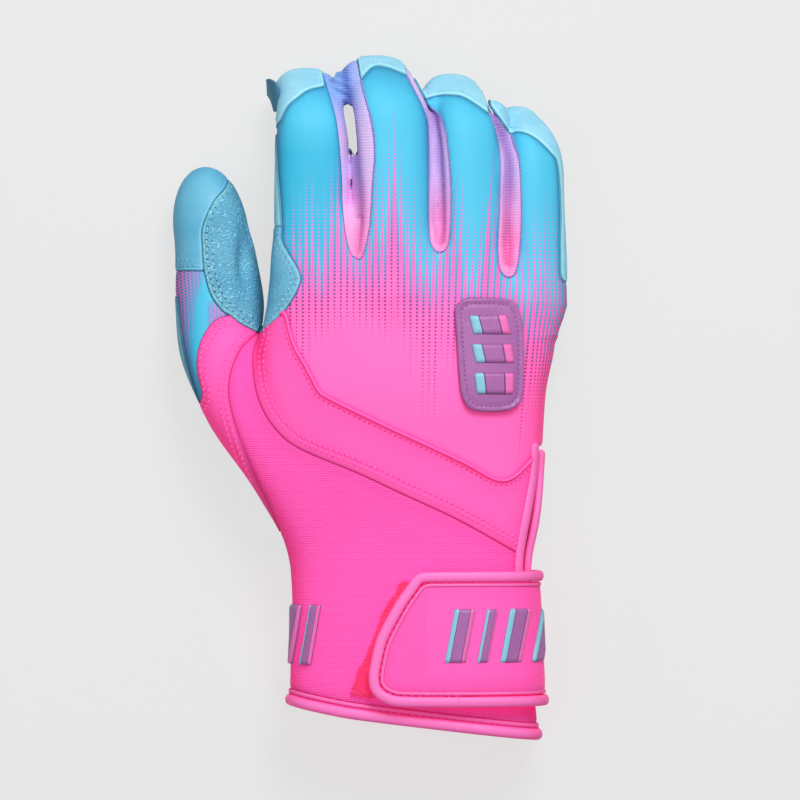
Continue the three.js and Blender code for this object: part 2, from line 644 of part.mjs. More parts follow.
function moulded() {
  const on = strap.thickness + layerGap;
  const onTab = strapShell(on, on + bars.height).intersect(aboveHeight(strap.hingeHeight + wall));
  barRow("tab_bar", onTab, tabBarRowShares);
  barRow("cuff_bar", layer(layerGap, layerGap + bars.height).intersect(onBack), cuffBarRowShares);
  const top = layerGap + badge.thickness;
  const face = prism(inset(badgeOutline, badge.rim)).subtract(body(top));
  pieces.badge_plate = layer(layerGap, top + badge.rimHeight)
    .intersect(prism(badgeOutline))
    .intersect(onBack)
    .subtract(face);
  const onPlate = layer(top + layerGap, top + layerGap + bars.height).intersect(onBack);
  badgeBarShares.forEach((shares, i) => {
    pieces[`badge_bar_${i + 1}`] = onPlate.intersect(zone(shares));
  });
}

[palm, backOfHand, thumbPanels, cuff, slit, patches, strapPieces, moulded].forEach((make) => make());

// Materials and nodes

const finishes = {
  palm_leather: "palm", thumb_palm_leather: "grained", thumb_cap: "cap", thumb_back_panel: "print",
  thumb_saddle: "smooth", back_panel: "print", fourchette_index_middle: "fourchette",
  fourchette_middle_ring: "fourchette", fourchette_ring_little: "fourchette", index_side_wrap: "grained",
  wrist_band: "smooth", band_piping: "binding", cuff_back_knit: "knit", cuff_palm_knit: "knit",
  hem_binding: "binding", slit_binding_left: "binding", slit_binding_right: "binding", slit_gusset: "knit",
  loop_patch: "loop", hook_patch: "hook", strap_root: "smooth", strap_tab: "smooth", tab_binding: "binding",
  tab_bar: "rubber", cuff_bar: "rubber", badge_plate: "rubber", badge_bar: "rubber",
};

// The largest body of a cut piece, without the slivers that a seam leaves beside it
function withoutOffcuts(solid) {
  return solid.decompose().toSorted((a, b) => b.volume() - a.volume())[0];
}

function meshOf(name, solid) {
  const { vertProperties, triVerts } = withoutOffcuts(solid).getMesh();
  const geometry = new THREE.BufferGeometry();
  geometry.setAttribute("position", new THREE.BufferAttribute(vertProperties, 3));
  geometry.setIndex(new THREE.BufferAttribute(triVerts, 1));
  const [color, roughness] = paint[finishes[name.replace(/_\d$/, "")]];
  const material = new THREE.MeshStandardMaterial({ color, roughness, metalness: 0 });
  const mesh = new THREE.Mesh(geometry, material);
  mesh.name = name;
  return mesh;
}

const group = new THREE.Group();
for (const [name, solid] of Object.entries(pieces)) group.add(meshOf(name, solid));

export default group;
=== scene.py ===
import math

import bpy
import mathutils
import numpy as np
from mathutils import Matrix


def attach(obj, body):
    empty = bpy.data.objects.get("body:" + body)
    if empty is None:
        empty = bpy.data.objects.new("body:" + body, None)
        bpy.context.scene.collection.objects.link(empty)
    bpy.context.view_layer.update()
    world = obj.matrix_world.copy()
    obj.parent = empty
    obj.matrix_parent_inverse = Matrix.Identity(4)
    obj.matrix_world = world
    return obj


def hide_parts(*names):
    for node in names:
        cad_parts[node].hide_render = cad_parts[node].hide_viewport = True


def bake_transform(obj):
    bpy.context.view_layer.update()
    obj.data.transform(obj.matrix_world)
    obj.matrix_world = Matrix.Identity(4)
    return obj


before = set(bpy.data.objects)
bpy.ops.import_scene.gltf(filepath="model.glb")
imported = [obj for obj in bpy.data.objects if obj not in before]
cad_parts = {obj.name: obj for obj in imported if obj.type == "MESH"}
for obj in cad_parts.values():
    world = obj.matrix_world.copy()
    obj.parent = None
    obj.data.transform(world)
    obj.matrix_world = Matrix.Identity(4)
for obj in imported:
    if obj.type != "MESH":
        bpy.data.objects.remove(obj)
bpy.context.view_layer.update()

mm = 0.001
glove = {"length": 242.8, "width": 138.8, "height": 44.0, "wall": 1.2, "clear": 0.02}
cell = 0.8
fieldReach = 12  # how far the distances from a seam are followed
print("glove: frame loaded")

# The hand inside the glove, in shares of the glove's own length, width and height

handStationShares = [
    (-0.62, -0.205, 0.432, -0.02, 0.91, -0.1, 0),
    (-0.482, -0.205, 0.432, -0.02, 0.92, -0.1, 0),
    (-0.42, -0.203, 0.423, -0.02, 0.93, -0.1, 0),
    (-0.33, -0.198, 0.412, -0.02, 0.92, -0.06, 0),
    (-0.24, -0.205, 0.412, 0.0, 0.89, -0.03, 0),
    (-0.18, -0.226, 0.437, -0.01, 0.9, 0, -0.01),
    (-0.1, -0.268, 0.441, -0.02, 0.95, 0, -0.03),
    (0, -0.29, 0.452, 0.03, 1.02, 0, -0.05),
    (0.07, -0.277, 0.472, 0.15, 1.0, -0.03, -0.08),
    (0.14, -0.252, 0.481, 0.31, 0.95, -0.08, -0.09),
    (0.19, -0.238, 0.478, 0.42, 0.87, -0.14, -0.09),
    (0.225, -0.205, 0.465, 0.47, 0.81, -0.2, -0.09),
    (0.25, -0.15, 0.41, 0.56, 0.72, -0.24, -0.09),
]
fingers = {
    "index": {"root": (-0.146, 0.141), "width": 26.4, "thickness": 21, "straight": 58, "curlRadius": 18,
              "tipRun": 6, "roll": 9, "yaw": -1.1, "tipShare": 0.88},
    "middle": {"root": (0.076, 0.141), "width": 29.2, "thickness": 22, "straight": 62, "curlRadius": 18,
               "tipRun": 6, "roll": 20, "yaw": 0.4, "tipShare": 0.91},
    "ring": {"root": (0.269, 0.141), "width": 24.6, "thickness": 21, "straight": 57, "curlRadius": 17,
             "tipRun": 5, "roll": 25, "yaw": -0.7, "tipShare": 0.88},
    "little": {"root": (0.431, 0.132), "width": 20.6, "thickness": 18.5, "straight": 51, "curlRadius": 15,
               "tipRun": 5, "roll": 30, "yaw": -2.2, "tipShare": 0.77},
}
fingerBend = {"slope": math.radians(8), "curl": math.radians(62), "squareness": 2.4, "partingDrop": 0.12}
thumb = {"width": 29.5, "thickness": 27, "squareness": 2.3, "partingDrop": 0.15, "round": 21.0}
thumbStationShares = [
    (-0.1, -0.23, 0.3, 0.74, 0.42), (-0.17, -0.15, 0.42, 0.76, 0.56), (-0.235, -0.09, 0.44, 0.74, 0.6),
    (-0.327, -0.01, 0.46, 0.7, 0.57), (-0.378, 0.07, 0.5, 0.62, 0.52), (-0.387, 0.14, 0.52, 0.54, 0.48),
    (-0.396, 0.2, 0.48, 0.47, 0.45), (-0.41, 0.25, 0.435, 0.42, 0.41), (-0.428, 0.336, 0.43, 0.38, 0.4),
]


def place(shares):
    return np.asarray(shares, float) * (glove["width"], glove["length"])


def smoothed(points, step=1.0):
    points = np.asarray(points, float)
    ends = np.vstack([2 * points[0] - points[1], points, 2 * points[-1] - points[-2]])
    out = []
    for i in range(len(points) - 1):
        a, b, c, d = ends[i:i + 4]
        count = max(2, int(np.linalg.norm(c - b) / step))
        t = np.linspace(0, 1, count, endpoint=False)[:, None]
        out.append(0.5 * (2 * b + (c - a) * t + (2 * a - 5 * b + 4 * c - d) * t ** 2
                          + (3 * b - a - 3 * c + d) * t ** 3))
    return np.vstack(out + [points[-1:]])


def smoothMin(a, b, reach):
    h = np.clip(0.5 + 0.5 * (b - a) / reach, 0, 1)
    return b * (1 - h) + a * h - reach * h * (1 - h)


def ramp(value, start, end):
    t = np.clip((value - start) / (end - start), 0, 1)
    return t * t * (3 - 2 * t)


def unit(rows):
    return rows / np.maximum(np.linalg.norm(rows, axis=1), 1e-9)[:, None]


def runOf(spots):
    return np.r_[0, np.cumsum(np.linalg.norm(np.diff(spots, axis=0), axis=1))]


def gathered(index, rows, count):
    # the sums of the rows that share an index
    return np.stack([np.bincount(index, rows[:, axis], count) for axis in range(3)], 1)


def triangles(quads):
    return np.vstack([quads[:, [0, 1, 2]], quads[:, [0, 2, 3]]])


def sectionGap(u, v, half, halfHigh, squareness, beyond=0.0, roundEnd=1.0):
    across, over = np.abs(u) / half, np.abs(v) / halfHigh
    ring = (across ** squareness + over ** squareness) ** (1 / squareness) + 1e-9
    steep = ring ** (1 - squareness) * np.hypot(across ** (squareness - 1) / half,
                                                over ** (squareness - 1) / halfHigh)
    end = beyond / roundEnd
    whole = np.sqrt(ring ** 2 + end ** 2)
    steep = np.sqrt((ring * steep) ** 2 + (end / roundEnd) ** 2) / whole
    return (whole - 1) / np.maximum(steep, 0.5 / np.maximum(half, halfHigh))


handTable = smoothed([(y * glove["length"], left * glove["width"], right * glove["width"],
                       low * glove["height"], high * glove["height"], lean, tilt)
                      for y, left, right, low, high, lean, tilt in handStationShares], 2.0)


def handGap(p, lift=0.0):
    x, y, z = p[:, 0], p[:, 1], p[:, 2]
    along = y
    for _ in range(3):
        left, right, low, high, lean, tilt = [np.interp(along, handTable[:, 0], handTable[:, k])
                                              for k in range(1, 7)]
        across = x - (left + right) / 2
        along = y - lean * across
    gap = sectionGap(across, z - (low + high + lift) / 2 - tilt * across, (right - left) / 2,
                     (high + lift - low) / 2, 2.6)
    return -smoothMin(-gap, handTable[-1, 0] - along, 3.0)


def setFinger(finger):
    slope, curl = fingerBend["slope"], fingerBend["curl"]
    radius, straight = finger["curlRadius"], finger["straight"]
    finger["tipRadius"] = finger["thickness"] * finger["tipShare"] / 2
    finger["centre"] = np.array([straight * math.cos(slope) - radius * math.sin(slope),
                                 -straight * math.sin(slope) - radius * math.cos(slope)])
    finger["end"] = finger["centre"] + radius * np.array([math.sin(curl), math.cos(curl)])
    yaw, roll = math.radians(finger["yaw"]), math.radians(finger["roll"])
    turnZ = np.array([[math.cos(yaw), -math.sin(yaw), 0], [math.sin(yaw), math.cos(yaw), 0], [0, 0, 1]])
    turnY = np.array([[math.cos(roll), 0, math.sin(roll)], [0, 1, 0], [-math.sin(roll), 0, math.cos(roll)]])
    finger["turn"] = turnZ @ turnY
    drop = -finger["end"][1] + finger["tipRun"] * math.sin(curl)
    finger["at"] = np.array([*place(finger["root"]), finger["tipRadius"] + drop * math.cos(roll)])


def fingerPlace(p, finger):
    u, y, z = ((p - finger["at"]) @ finger["turn"]).T
    slope, curl = fingerBend["slope"], fingerBend["curl"]
    radius, straight = finger["curlRadius"], finger["straight"]
    wy, wz = y - finger["centre"][0], z - finger["centre"][1]
    angle = np.arctan2(wy, wz)
    ey, ez = y - finger["end"][0], z - finger["end"][1]
    arc = straight + radius * (curl - slope)
    inArc, inTip = (angle >= slope) & (angle < curl), angle >= curl
    along = np.where(inTip, arc + ey * math.cos(curl) - ez * math.sin(curl),
                     np.where(inArc, straight + radius * (angle - slope),
                              y * math.cos(slope) - z * math.sin(slope)))
    over = np.where(inTip, ey * math.sin(curl) + ez * math.cos(curl),
                    np.where(inArc, np.hypot(wy, wz) - radius, y * math.sin(slope) + z * math.cos(slope)))
    return u, over, along, arc


def fingerGap(p, finger):
    u, over, along, arc = fingerPlace(p, finger)
    size = np.interp(along / finger["width"], [-0.483, -0.207, 0, 1], [0.55, 0.85, 1, 1])
    size = size * (1 - (1 - finger["tipShare"]) * ramp(along, finger["straight"] - 4, arc + 2))
    beyond = np.maximum(along - arc - finger["tipRun"], 0)
    gap = sectionGap(u, over, finger["width"] / 2 * size, finger["thickness"] / 2 * size,
                     fingerBend["squareness"], beyond, finger["tipRadius"])
    return np.maximum(gap, -0.483 * finger["width"] - along)


thumbTable = smoothed([(x * glove["width"], y * glove["length"], half * thumb["width"],
                        z * thumb["thickness"], high * thumb["thickness"])
                       for x, y, half, z, high in thumbStationShares], 1.5)
thumbWay = unit(np.gradient(thumbTable[:, :2], axis=0))
thumbRun = runOf(thumbTable[:, :2])


def thumbPlace(p):
    nearest = np.empty(len(p), int)
    for start in range(0, len(p), 20000):
        part = p[start:start + 20000, None, :2]
        nearest[start:start + 20000] = ((part - thumbTable[None, :, :2]) ** 2).sum(2).argmin(1)
    offset = p[:, :2] - thumbTable[nearest, :2]
    way = thumbWay[nearest]
    along = thumbRun[nearest] + (offset * way).sum(1)
    return offset[:, 0] * way[:, 1] - offset[:, 1] * way[:, 0], along


def thumbGap(p):
    u, along = thumbPlace(p)
    half, z, high = [np.interp(along, thumbRun, thumbTable[:, k]) for k in (2, 3, 4)]
    beyond = np.maximum(along - thumbRun[-1] + thumb["round"], 0)
    return sectionGap(u, p[:, 2] - z, half, high, thumb["squareness"], beyond, thumb["round"])


def near(p, gap, low, high):
    out = np.full(len(p), 40.0)
    rows = np.flatnonzero(((p > low) & (p < high)).all(1))
    if len(rows):
        out[rows] = gap(p[rows])
    return out


for finger in fingers.values():
    setFinger(finger)
    side = finger["width"] * 0.75
    finger["low"] = finger["at"] - (side + 14, 22, 50)
    finger["high"] = finger["at"] + (side + 9, 96, 20)


def gloveParts(p):
    digits = [near(p, lambda q, f=finger: fingerGap(q, f), finger["low"], finger["high"])
              for finger in fingers.values()]
    return handGap(p), digits, near(p, thumbGap, (-80, -70, -10), (-5, 95, 50))


gathers = [((-8, 110.2, 17), (6.2, 6.5, 7), 0.3), ((22, 101, 16), (4.8, 9, 8), 0.1),
           ((44.6, 96, 16), (5.4, 9.3, 8), 0.1), ((-4.6, 66, 18), (4.5, 12, 9), 0),
           ((-6.1, 79, 13.5), (4.8, 9.5, 8), 0), ((23.8, 70, 21), (4.5, 12, 8), 0),
           ((23.4, 87, 17), (4.5, 13, 8), 0), ((47.6, 62, 22), (4.5, 12, 8), 0), ((47.8, 79, 19), (4.6, 14, 8), 0)]
airY, airHalf = (83.6, 86, 91, 100, 103.4, 106), (-3, 0.95, 1.3, 1.65, 1.5, -3)


def gatherGap(p, middle, radii, bunch):
    # knit bunched up between two fingertips
    away = (p - middle) / radii
    bunched = bunch * np.sin(2.2 * p[:, 1] + 0.9 * p[:, 0])
    return (np.linalg.norm(away, axis=1) - 1) * min(radii) + bunched * (np.abs(away) < 2).all(1)


def gloveGap(p):
    hand, digits, thumbSide = gloveParts(p)
    gap = smoothMin(np.minimum.reduce(digits), hand, 4.0)
    gap = smoothMin(thumbSide, gap, 7.0)
    for gather in gathers:
        gap = smoothMin(gap, gatherGap(p, *gather), 2.0)
    air = np.interp(p[:, 1], airY, airHalf) - np.abs(lineGap(p[:, :2], seams["middleOne"]))
    gap = np.maximum(gap, air)
    return -smoothMin(-gap, p[:, 2], 2.0)


# Meshes as arrays: points in millimetres, triangles, and values kept on the points

cornerSteps = [(i, j, k) for i in (0, 1) for j in (0, 1) for k in (0, 1)]


def wrapMesh(gap, low, high):
    low, block = np.asarray(low, float), 4
    blocks = np.ceil((np.asarray(high, float) - low) / (cell * block)).astype(int)
    coarse = np.stack(np.meshgrid(*[np.arange(count) for count in blocks], indexing="ij"), -1)
    values = gap(low + cell * (coarse.reshape(-1, 3) * block + (block - 1) / 2)).reshape(blocks)
    for axis in range(3):
        values = np.repeat(values, block, axis)
    counts = np.array(values.shape)
    rows = np.flatnonzero(np.abs(values).ravel() < 1.5 * cell * block)
    for part in np.array_split(rows, max(1, len(rows) // 300000)):
        values.ravel()[part] = gap(low + cell * np.stack(np.unravel_index(part, counts), 1))
    inner = values < 0
    nx, ny, nz = counts - 1
    corner = {s: inner[s[0]:nx + s[0], s[1]:ny + s[1], s[2]:nz + s[2]] for s in cornerSteps}
    total = sum(c.astype(int) for c in corner.values())
    active = (total > 0) & (total < 8)
    cells = np.argwhere(active)
    index = np.full(active.shape, -1)
    index[tuple(cells.T)] = np.arange(len(cells))
    spots, hits = np.zeros((len(cells), 3)), np.zeros(len(cells))
    for a in cornerSteps:
        for axis in range(3):
            if a[axis]:
                continue
            b = tuple(1 if i == axis else a[i] for i in range(3))
            va, vb = values[tuple((cells + a).T)], values[tuple((cells + b).T)]
            cross = (va < 0) != (vb < 0)
            t = np.where(cross, va / np.where(cross, va - vb, 1), 0)
            spot = np.tile(np.array(a, float), (len(cells), 1))
            spot[:, axis] += t
            spots[cross] += spot[cross]
            hits[cross] += 1
    points = low + cell * (cells + spots / hits[:, None])
    quads = []
    for axis in range(3):
        others = [(axis + 1) % 3, (axis + 2) % 3]
        size = [nx + 1, ny + 1, nz + 1]
        start, stop = [0, 0, 0], [nx, ny, nz]
        for o in others:
            start[o] = 1
        first = inner[tuple(slice(start[i], stop[i]) for i in range(3))]
        second = inner[tuple(slice(start[i] + (i == axis), stop[i] + (i == axis)) for i in range(3))]
        edges = np.argwhere(first != second) + start
        flip = first[tuple((edges - start).T)]
        around = []
        for du, dv in ((0, 0), (1, 0), (1, 1), (0, 1)):
            back = edges.copy()
            back[:, others[0]] -= du
            back[:, others[1]] -= dv
            around.append(index[tuple(back.T)])
        quad = np.stack(around, 1)
        quad[~flip] = quad[~flip][:, ::-1]
        quads.append(quad)
    quads = np.vstack(quads)
    mesh = {"points": settle(points, quads, gap), "faces": triangles(quads), "data": {}}
    return mesh | {"normals": normalsOf(mesh)}


def slopeOf(p, gap):
    out, step = np.empty_like(p), 0.05
    for axis in range(3):
        shift = np.zeros(3)
        shift[axis] = step
        out[:, axis] = (gap(p + shift) - gap(p - shift)) / (2 * step)
    return out


def settle(points, quads, gap):
    pairs = np.vstack([quads[:, [i, (i + 1) % 4]] for i in range(4)])
    for turn in range(3):
        if turn:
            total = sum(gathered(pairs[:, k], points[pairs[:, 1 - k]], len(points)) for k in (0, 1))
            count = sum(np.bincount(pairs[:, k], minlength=len(points)) for k in (0, 1))
            points = 0.4 * points + 0.6 * total / count[:, None]
        slope = slopeOf(points, gap)
        value = gap(points)
        reach = np.maximum((slope ** 2).sum(1), 0.2)
        points = points - np.clip(value / reach, -1, 1)[:, None] * slope
    return points


def normalsOf(mesh):
    p, f = mesh["points"], mesh["faces"]
    cross = np.cross(p[f[:, 1]] - p[f[:, 0]], p[f[:, 2]] - p[f[:, 0]])
    return unit(sum(gathered(f[:, k], cross, len(p)) for k in range(3)))


def compact(mesh):
    used, faces = np.unique(mesh["faces"], return_inverse=True)
    return {"points": mesh["points"][used], "faces": faces.reshape(-1, 3),
            "data": {k: v[used] for k, v in mesh["data"].items()}}


def edgeCuts(faces, values):
    keep = values > 0
    one = keep[faces].sum(1)
    first = []
    for count, odd in ((1, True), (2, False)):
        rows = faces[one == count]
        lead = np.argmax(keep[rows] == odd, axis=1)
        first.append(np.stack([rows[np.arange(len(rows)), (lead + k) % 3] for k in range(3)], 1))
    return faces[one == 3], first[0], first[1]


def clip(mesh, values, mark=None):
    whole, single, double = edgeCuts(mesh["faces"], values)
    pairs = np.vstack([single[:, [0, 1]], single[:, [0, 2]], double[:, [0, 1]], double[:, [0, 2]]])
    ends, where = np.unique(np.sort(pairs, axis=1), axis=0, return_inverse=True)
    where = where.reshape(-1) + len(mesh["points"])
    a, b = ends.T
    t = np.clip(values[a] / np.where(values[a] == values[b], 1, values[a] - values[b]), 0.02, 0.98)
    n1, n2 = len(single), len(double)
    s1, s2, d1, d2 = np.split(where, [n1, 2 * n1, 2 * n1 + n2])
    faces = np.vstack([whole, np.stack([single[:, 0], s1, s2], 1),
                       np.stack([d1, double[:, 1], double[:, 2]], 1), np.stack([d1, double[:, 2], d2], 1)])

    def mixed(v):
        share = t if v.ndim == 1 else t[:, None]
        return np.concatenate([v, v[a] * (1 - share) + v[b] * share])

    data = {k: mixed(v) for k, v in mesh["data"].items()}
    if mark:
        data[mark][len(mesh["points"]):] = 0
    return compact({"points": mixed(mesh["points"]), "faces": faces, "data": data})


def borderEdges(faces):
    pairs = np.vstack([faces[:, [0, 1]], faces[:, [1, 2]], faces[:, [2, 0]]])
    _, where, count = np.unique(np.sort(pairs, axis=1), axis=0, return_inverse=True, return_counts=True)
    return pairs[count[where.reshape(-1)] == 1]


def chains(pairs):
    follow, before = {}, {}
    for a, b in pairs:
        follow[a], before[b] = b, a
    out, seen = [], set()
    for start in [a for a in follow if a not in before] + list(follow):
        if start in seen:
            continue
        line, at = [start], start
        seen.add(start)
        while at in follow:
            at = follow[at]
            line.append(at)
            if at in seen:
                break
            seen.add(at)
        if len(line) > 3:
            out.append(line)
    return out


def contour(mesh, values):
    # lines on the surface where the values are zero, with the surface's normals along them
    line = np.ones(len(values))
    cut = clip(mesh | {"data": dict(mesh["data"], onLine=line, normal=mesh["normals"])}, values, mark="onLine")
    edges = borderEdges(cut["faces"])
    edges = edges[(cut["data"]["onLine"] < 0.5)[edges].all(1)]
    lines = []
    for line in chains(edges.tolist()):
        kept = cut["data"]["keep"][line] > 0 if "keep" in cut["data"] else np.ones(len(line), bool)
        lines.append((cut["points"][line], cut["data"]["normal"][line], kept))
    return sorted(lines, key=lambda item: -len(item[0]))


def evenly(line, step, soften):
    spots, normals = line
    closed = np.allclose(spots[0], spots[-1])
    run = runOf(spots)
    count = max(3, int(run[-1] / step) + 1)
    at = np.linspace(0, run[-1], count)
    spots = np.stack([np.interp(at, run, spots[:, k]) for k in range(3)], 1)
    normals = np.stack([np.interp(at, run, normals[:, k]) for k in range(3)], 1)
    for _ in range(soften):
        for rows in (spots, normals):
            if closed:
                ring = rows[:-1]
                rows[:-1] = (np.roll(ring, 1, 0) + 2 * ring + np.roll(ring, -1, 0)) / 4
                rows[-1] = rows[0]
            else:
                rows[1:-1] = (rows[:-2] + 2 * rows[1:-1] + rows[2:]) / 4
    return spots, unit(normals)


def sweep(line, profile):
    # a tube of one cross-section along a line on the surface, drawn in at open ends
    spots, normals = line
    taper = 1.5
    closed = np.allclose(spots[0], spots[-1])
    if closed:
        spots, normals = spots[:-1], normals[:-1]
        way = np.roll(spots, -1, 0) - np.roll(spots, 1, 0)
    else:
        way = np.gradient(spots, axis=0)
    way = unit(way)
    side = unit(np.cross(way, normals))
    up = np.cross(side, way)
    count, around = len(spots), len(profile)
    size = np.ones(count)
    if not closed:
        run = runOf(spots)
        drawn = np.clip(np.minimum(run, run[-1] - run) / taper, 0, 1)
        size = np.sqrt(np.clip(1 - (1 - drawn) ** 2, 0.01, 1))
    profile = np.asarray(profile, float)
    points = (spots[:, None] + side[:, None] * (profile[None, :, 0:1] * size[:, None, None])
              + up[:, None] * (profile[None, :, 1:2] * size[:, None, None])).reshape(-1, 3)
    rows = np.arange(count if closed else count - 1)[:, None] * around
    ring = np.arange(around)[None]
    nextRing, nextRow = (ring + 1) % around, around
    wrap = count * around
    quads = np.stack([rows + ring, rows + nextRing, (rows + nextRow + nextRing) % wrap,
                      (rows + nextRow + ring) % wrap], -1).reshape(-1, 4)
    faces = triangles(quads)
    if not closed:
        fan = np.array([[0, i + 1, i] for i in range(1, around - 1)])
        faces = np.vstack([faces, fan, fan[:, ::-1] + (count - 1) * around])
    return {"points": points, "faces": faces, "data": {}}


def oval(halfWidth, above, below, faces=12):
    turn = np.linspace(0, 2 * np.pi, faces, endpoint=False)
    return [(-halfWidth * math.cos(a), (above if math.sin(a) > 0 else below) * math.sin(a)) for a in turn]


def joined(meshes):
    points, faces, start = [], [], 0
    for mesh in meshes:
        points.append(mesh["points"])
        faces.append(mesh["faces"] + start)
        start += len(mesh["points"])
    keys = set.intersection(*[set(mesh["data"]) for mesh in meshes])
    data = {key: np.concatenate([mesh["data"][key] for mesh in meshes]) for key in keys}
    return {"points": np.vstack(points), "faces": np.vstack(faces), "data": data}


def threads(spot, way, up, length, radius, lift):
    # thread dashes that come up out of the cloth and go down again
    count = len(spot)
    up = unit(up)
    way = unit(way - up * (way * up).sum(1)[:, None])
    across = np.cross(way, up)
    steps, around = np.linspace(-1, 1, 6), 6
    turn = np.linspace(0, 2 * np.pi, around, endpoint=False)
    shape = []
    for s in steps:
        thick = radius * (1 - 0.45 * s ** 4)
        for a in turn:
            shape.append((s * length / 2, thick * math.cos(a),
                          lift + thick * math.sin(a) * 0.8 - 1.9 * radius * abs(s) ** 3))
    shape = np.array(shape)
    points = (spot[:, None] + way[:, None] * shape[None, :, 0:1] + across[:, None] * shape[None, :, 1:2]
              + up[:, None] * shape[None, :, 2:3]).reshape(-1, 3)
    ring = np.arange(around)
    quads = np.vstack([np.stack([r * around + ring, r * around + (ring + 1) % around,
                                 (r + 1) * around + (ring + 1) % around, (r + 1) * around + ring], 1)
                       for r in range(len(steps) - 1)])
    last = (len(steps) - 1) * around
    fans = [[0, i + 1, i] for i in range(1, around - 1)] + [[last, last + i, last + i + 1]
                                                            for i in range(1, around - 1)]
    one = np.vstack([triangles(quads), fans])
    faces = (one[None] + (np.arange(count) * len(shape))[:, None, None]).reshape(-1, 3)
    return {"points": points, "faces": faces, "data": {}}


def stitches(line, pitch, length, radius, lift=0.05, slant=0.0, phase=0.0):
    run = runOf(line[0])
    count = max(1, int(run[-1] / pitch))
    at = (np.arange(count) + 0.5 + phase) * run[-1] / count
    spot, ahead, behind, up = [np.stack([np.interp(at + step, run, rows[:, k]) for k in range(3)], 1)
                               for rows, step in ((line[0], 0), (line[0], 0.6), (line[0], -0.6), (line[1], 0))]
    way = unit(ahead - behind)
    way = way * math.cos(slant) + np.cross(way, up) * math.sin(slant)
    return threads(spot, way, up, length, radius, lift)


def thickened(mesh, thickness, roll=0.3, floor=True):
    # gives a panel its inner face and a rolled edge
    normals = normalsOf(mesh)
    p, f = mesh["points"], mesh["faces"]
    edges = borderEdges(f)
    rim, where = np.unique(edges, return_inverse=True)
    where = where.reshape(-1, 2)
    step = p[edges[:, 1]] - p[edges[:, 0]]
    way = sum(gathered(where[:, k], step, len(rim)) for k in (0, 1))
    for _ in range(4):
        total = way
        for k in (0, 1):
            total = total + 0.5 * gathered(where[:, k], way[where[:, 1 - k]], len(rim))
        way = total / 2
    out = np.cross(unit(way), normals[rim])
    rings = [(0.6 * roll, 0.15 * roll), (roll, 0.45 * thickness), (0.6 * roll, 0.85 * thickness)]
    rimRings = [p[rim] + out * side - normals[rim] * down for side, down in rings]
    inner = p - normals * thickness
    count = len(p)
    points = np.vstack([p, inner] + rimRings)
    top = rim[where]
    levels = [top] + [2 * count + i * len(rim) + where for i in range(len(rings))] + [top + count]
    faces = [f, f[:, ::-1] + count]
    for upper, lower in zip(levels[:-1], levels[1:]):
        faces.append(np.stack([upper[:, 1], upper[:, 0], lower[:, 0]], 1))
        faces.append(np.stack([upper[:, 1], lower[:, 0], lower[:, 1]], 1))
    data = {k: np.concatenate([v, v] + [v[rim]] * len(rings)) for k, v in mesh["data"].items()}
    if floor:
        points[:, 2] = np.maximum(points[:, 2], glove["clear"])
    return {"points": points, "faces": np.vstack(faces), "data": data}


def pieceObject(name, mesh, material, body="glove", nodes=(), slot=None):
    data = bpy.data.meshes.new(name)
    data.from_pydata((mesh["points"] * mm).tolist(), [], mesh["faces"].tolist())
    data.validate()
    for key, values in mesh["data"].items():
        if key in ("weave", "edge"):
            kind = "FLOAT" if values.ndim == 1 else "FLOAT_VECTOR"
            layer = data.attributes.new(key, kind, "POINT")
            layer.data.foreach_set("value" if kind == "FLOAT" else "vector", values.astype(np.float32).ravel())
    data.shade_smooth()
    data.materials.append(material)
    piece = bpy.data.objects.new(name, data)
    bpy.context.scene.collection.objects.link(piece)
    if nodes:
        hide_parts(*nodes)
    if body:
        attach(piece, body)
    return piece


# Seams seen from above, in shares of the glove's width and length from its middle

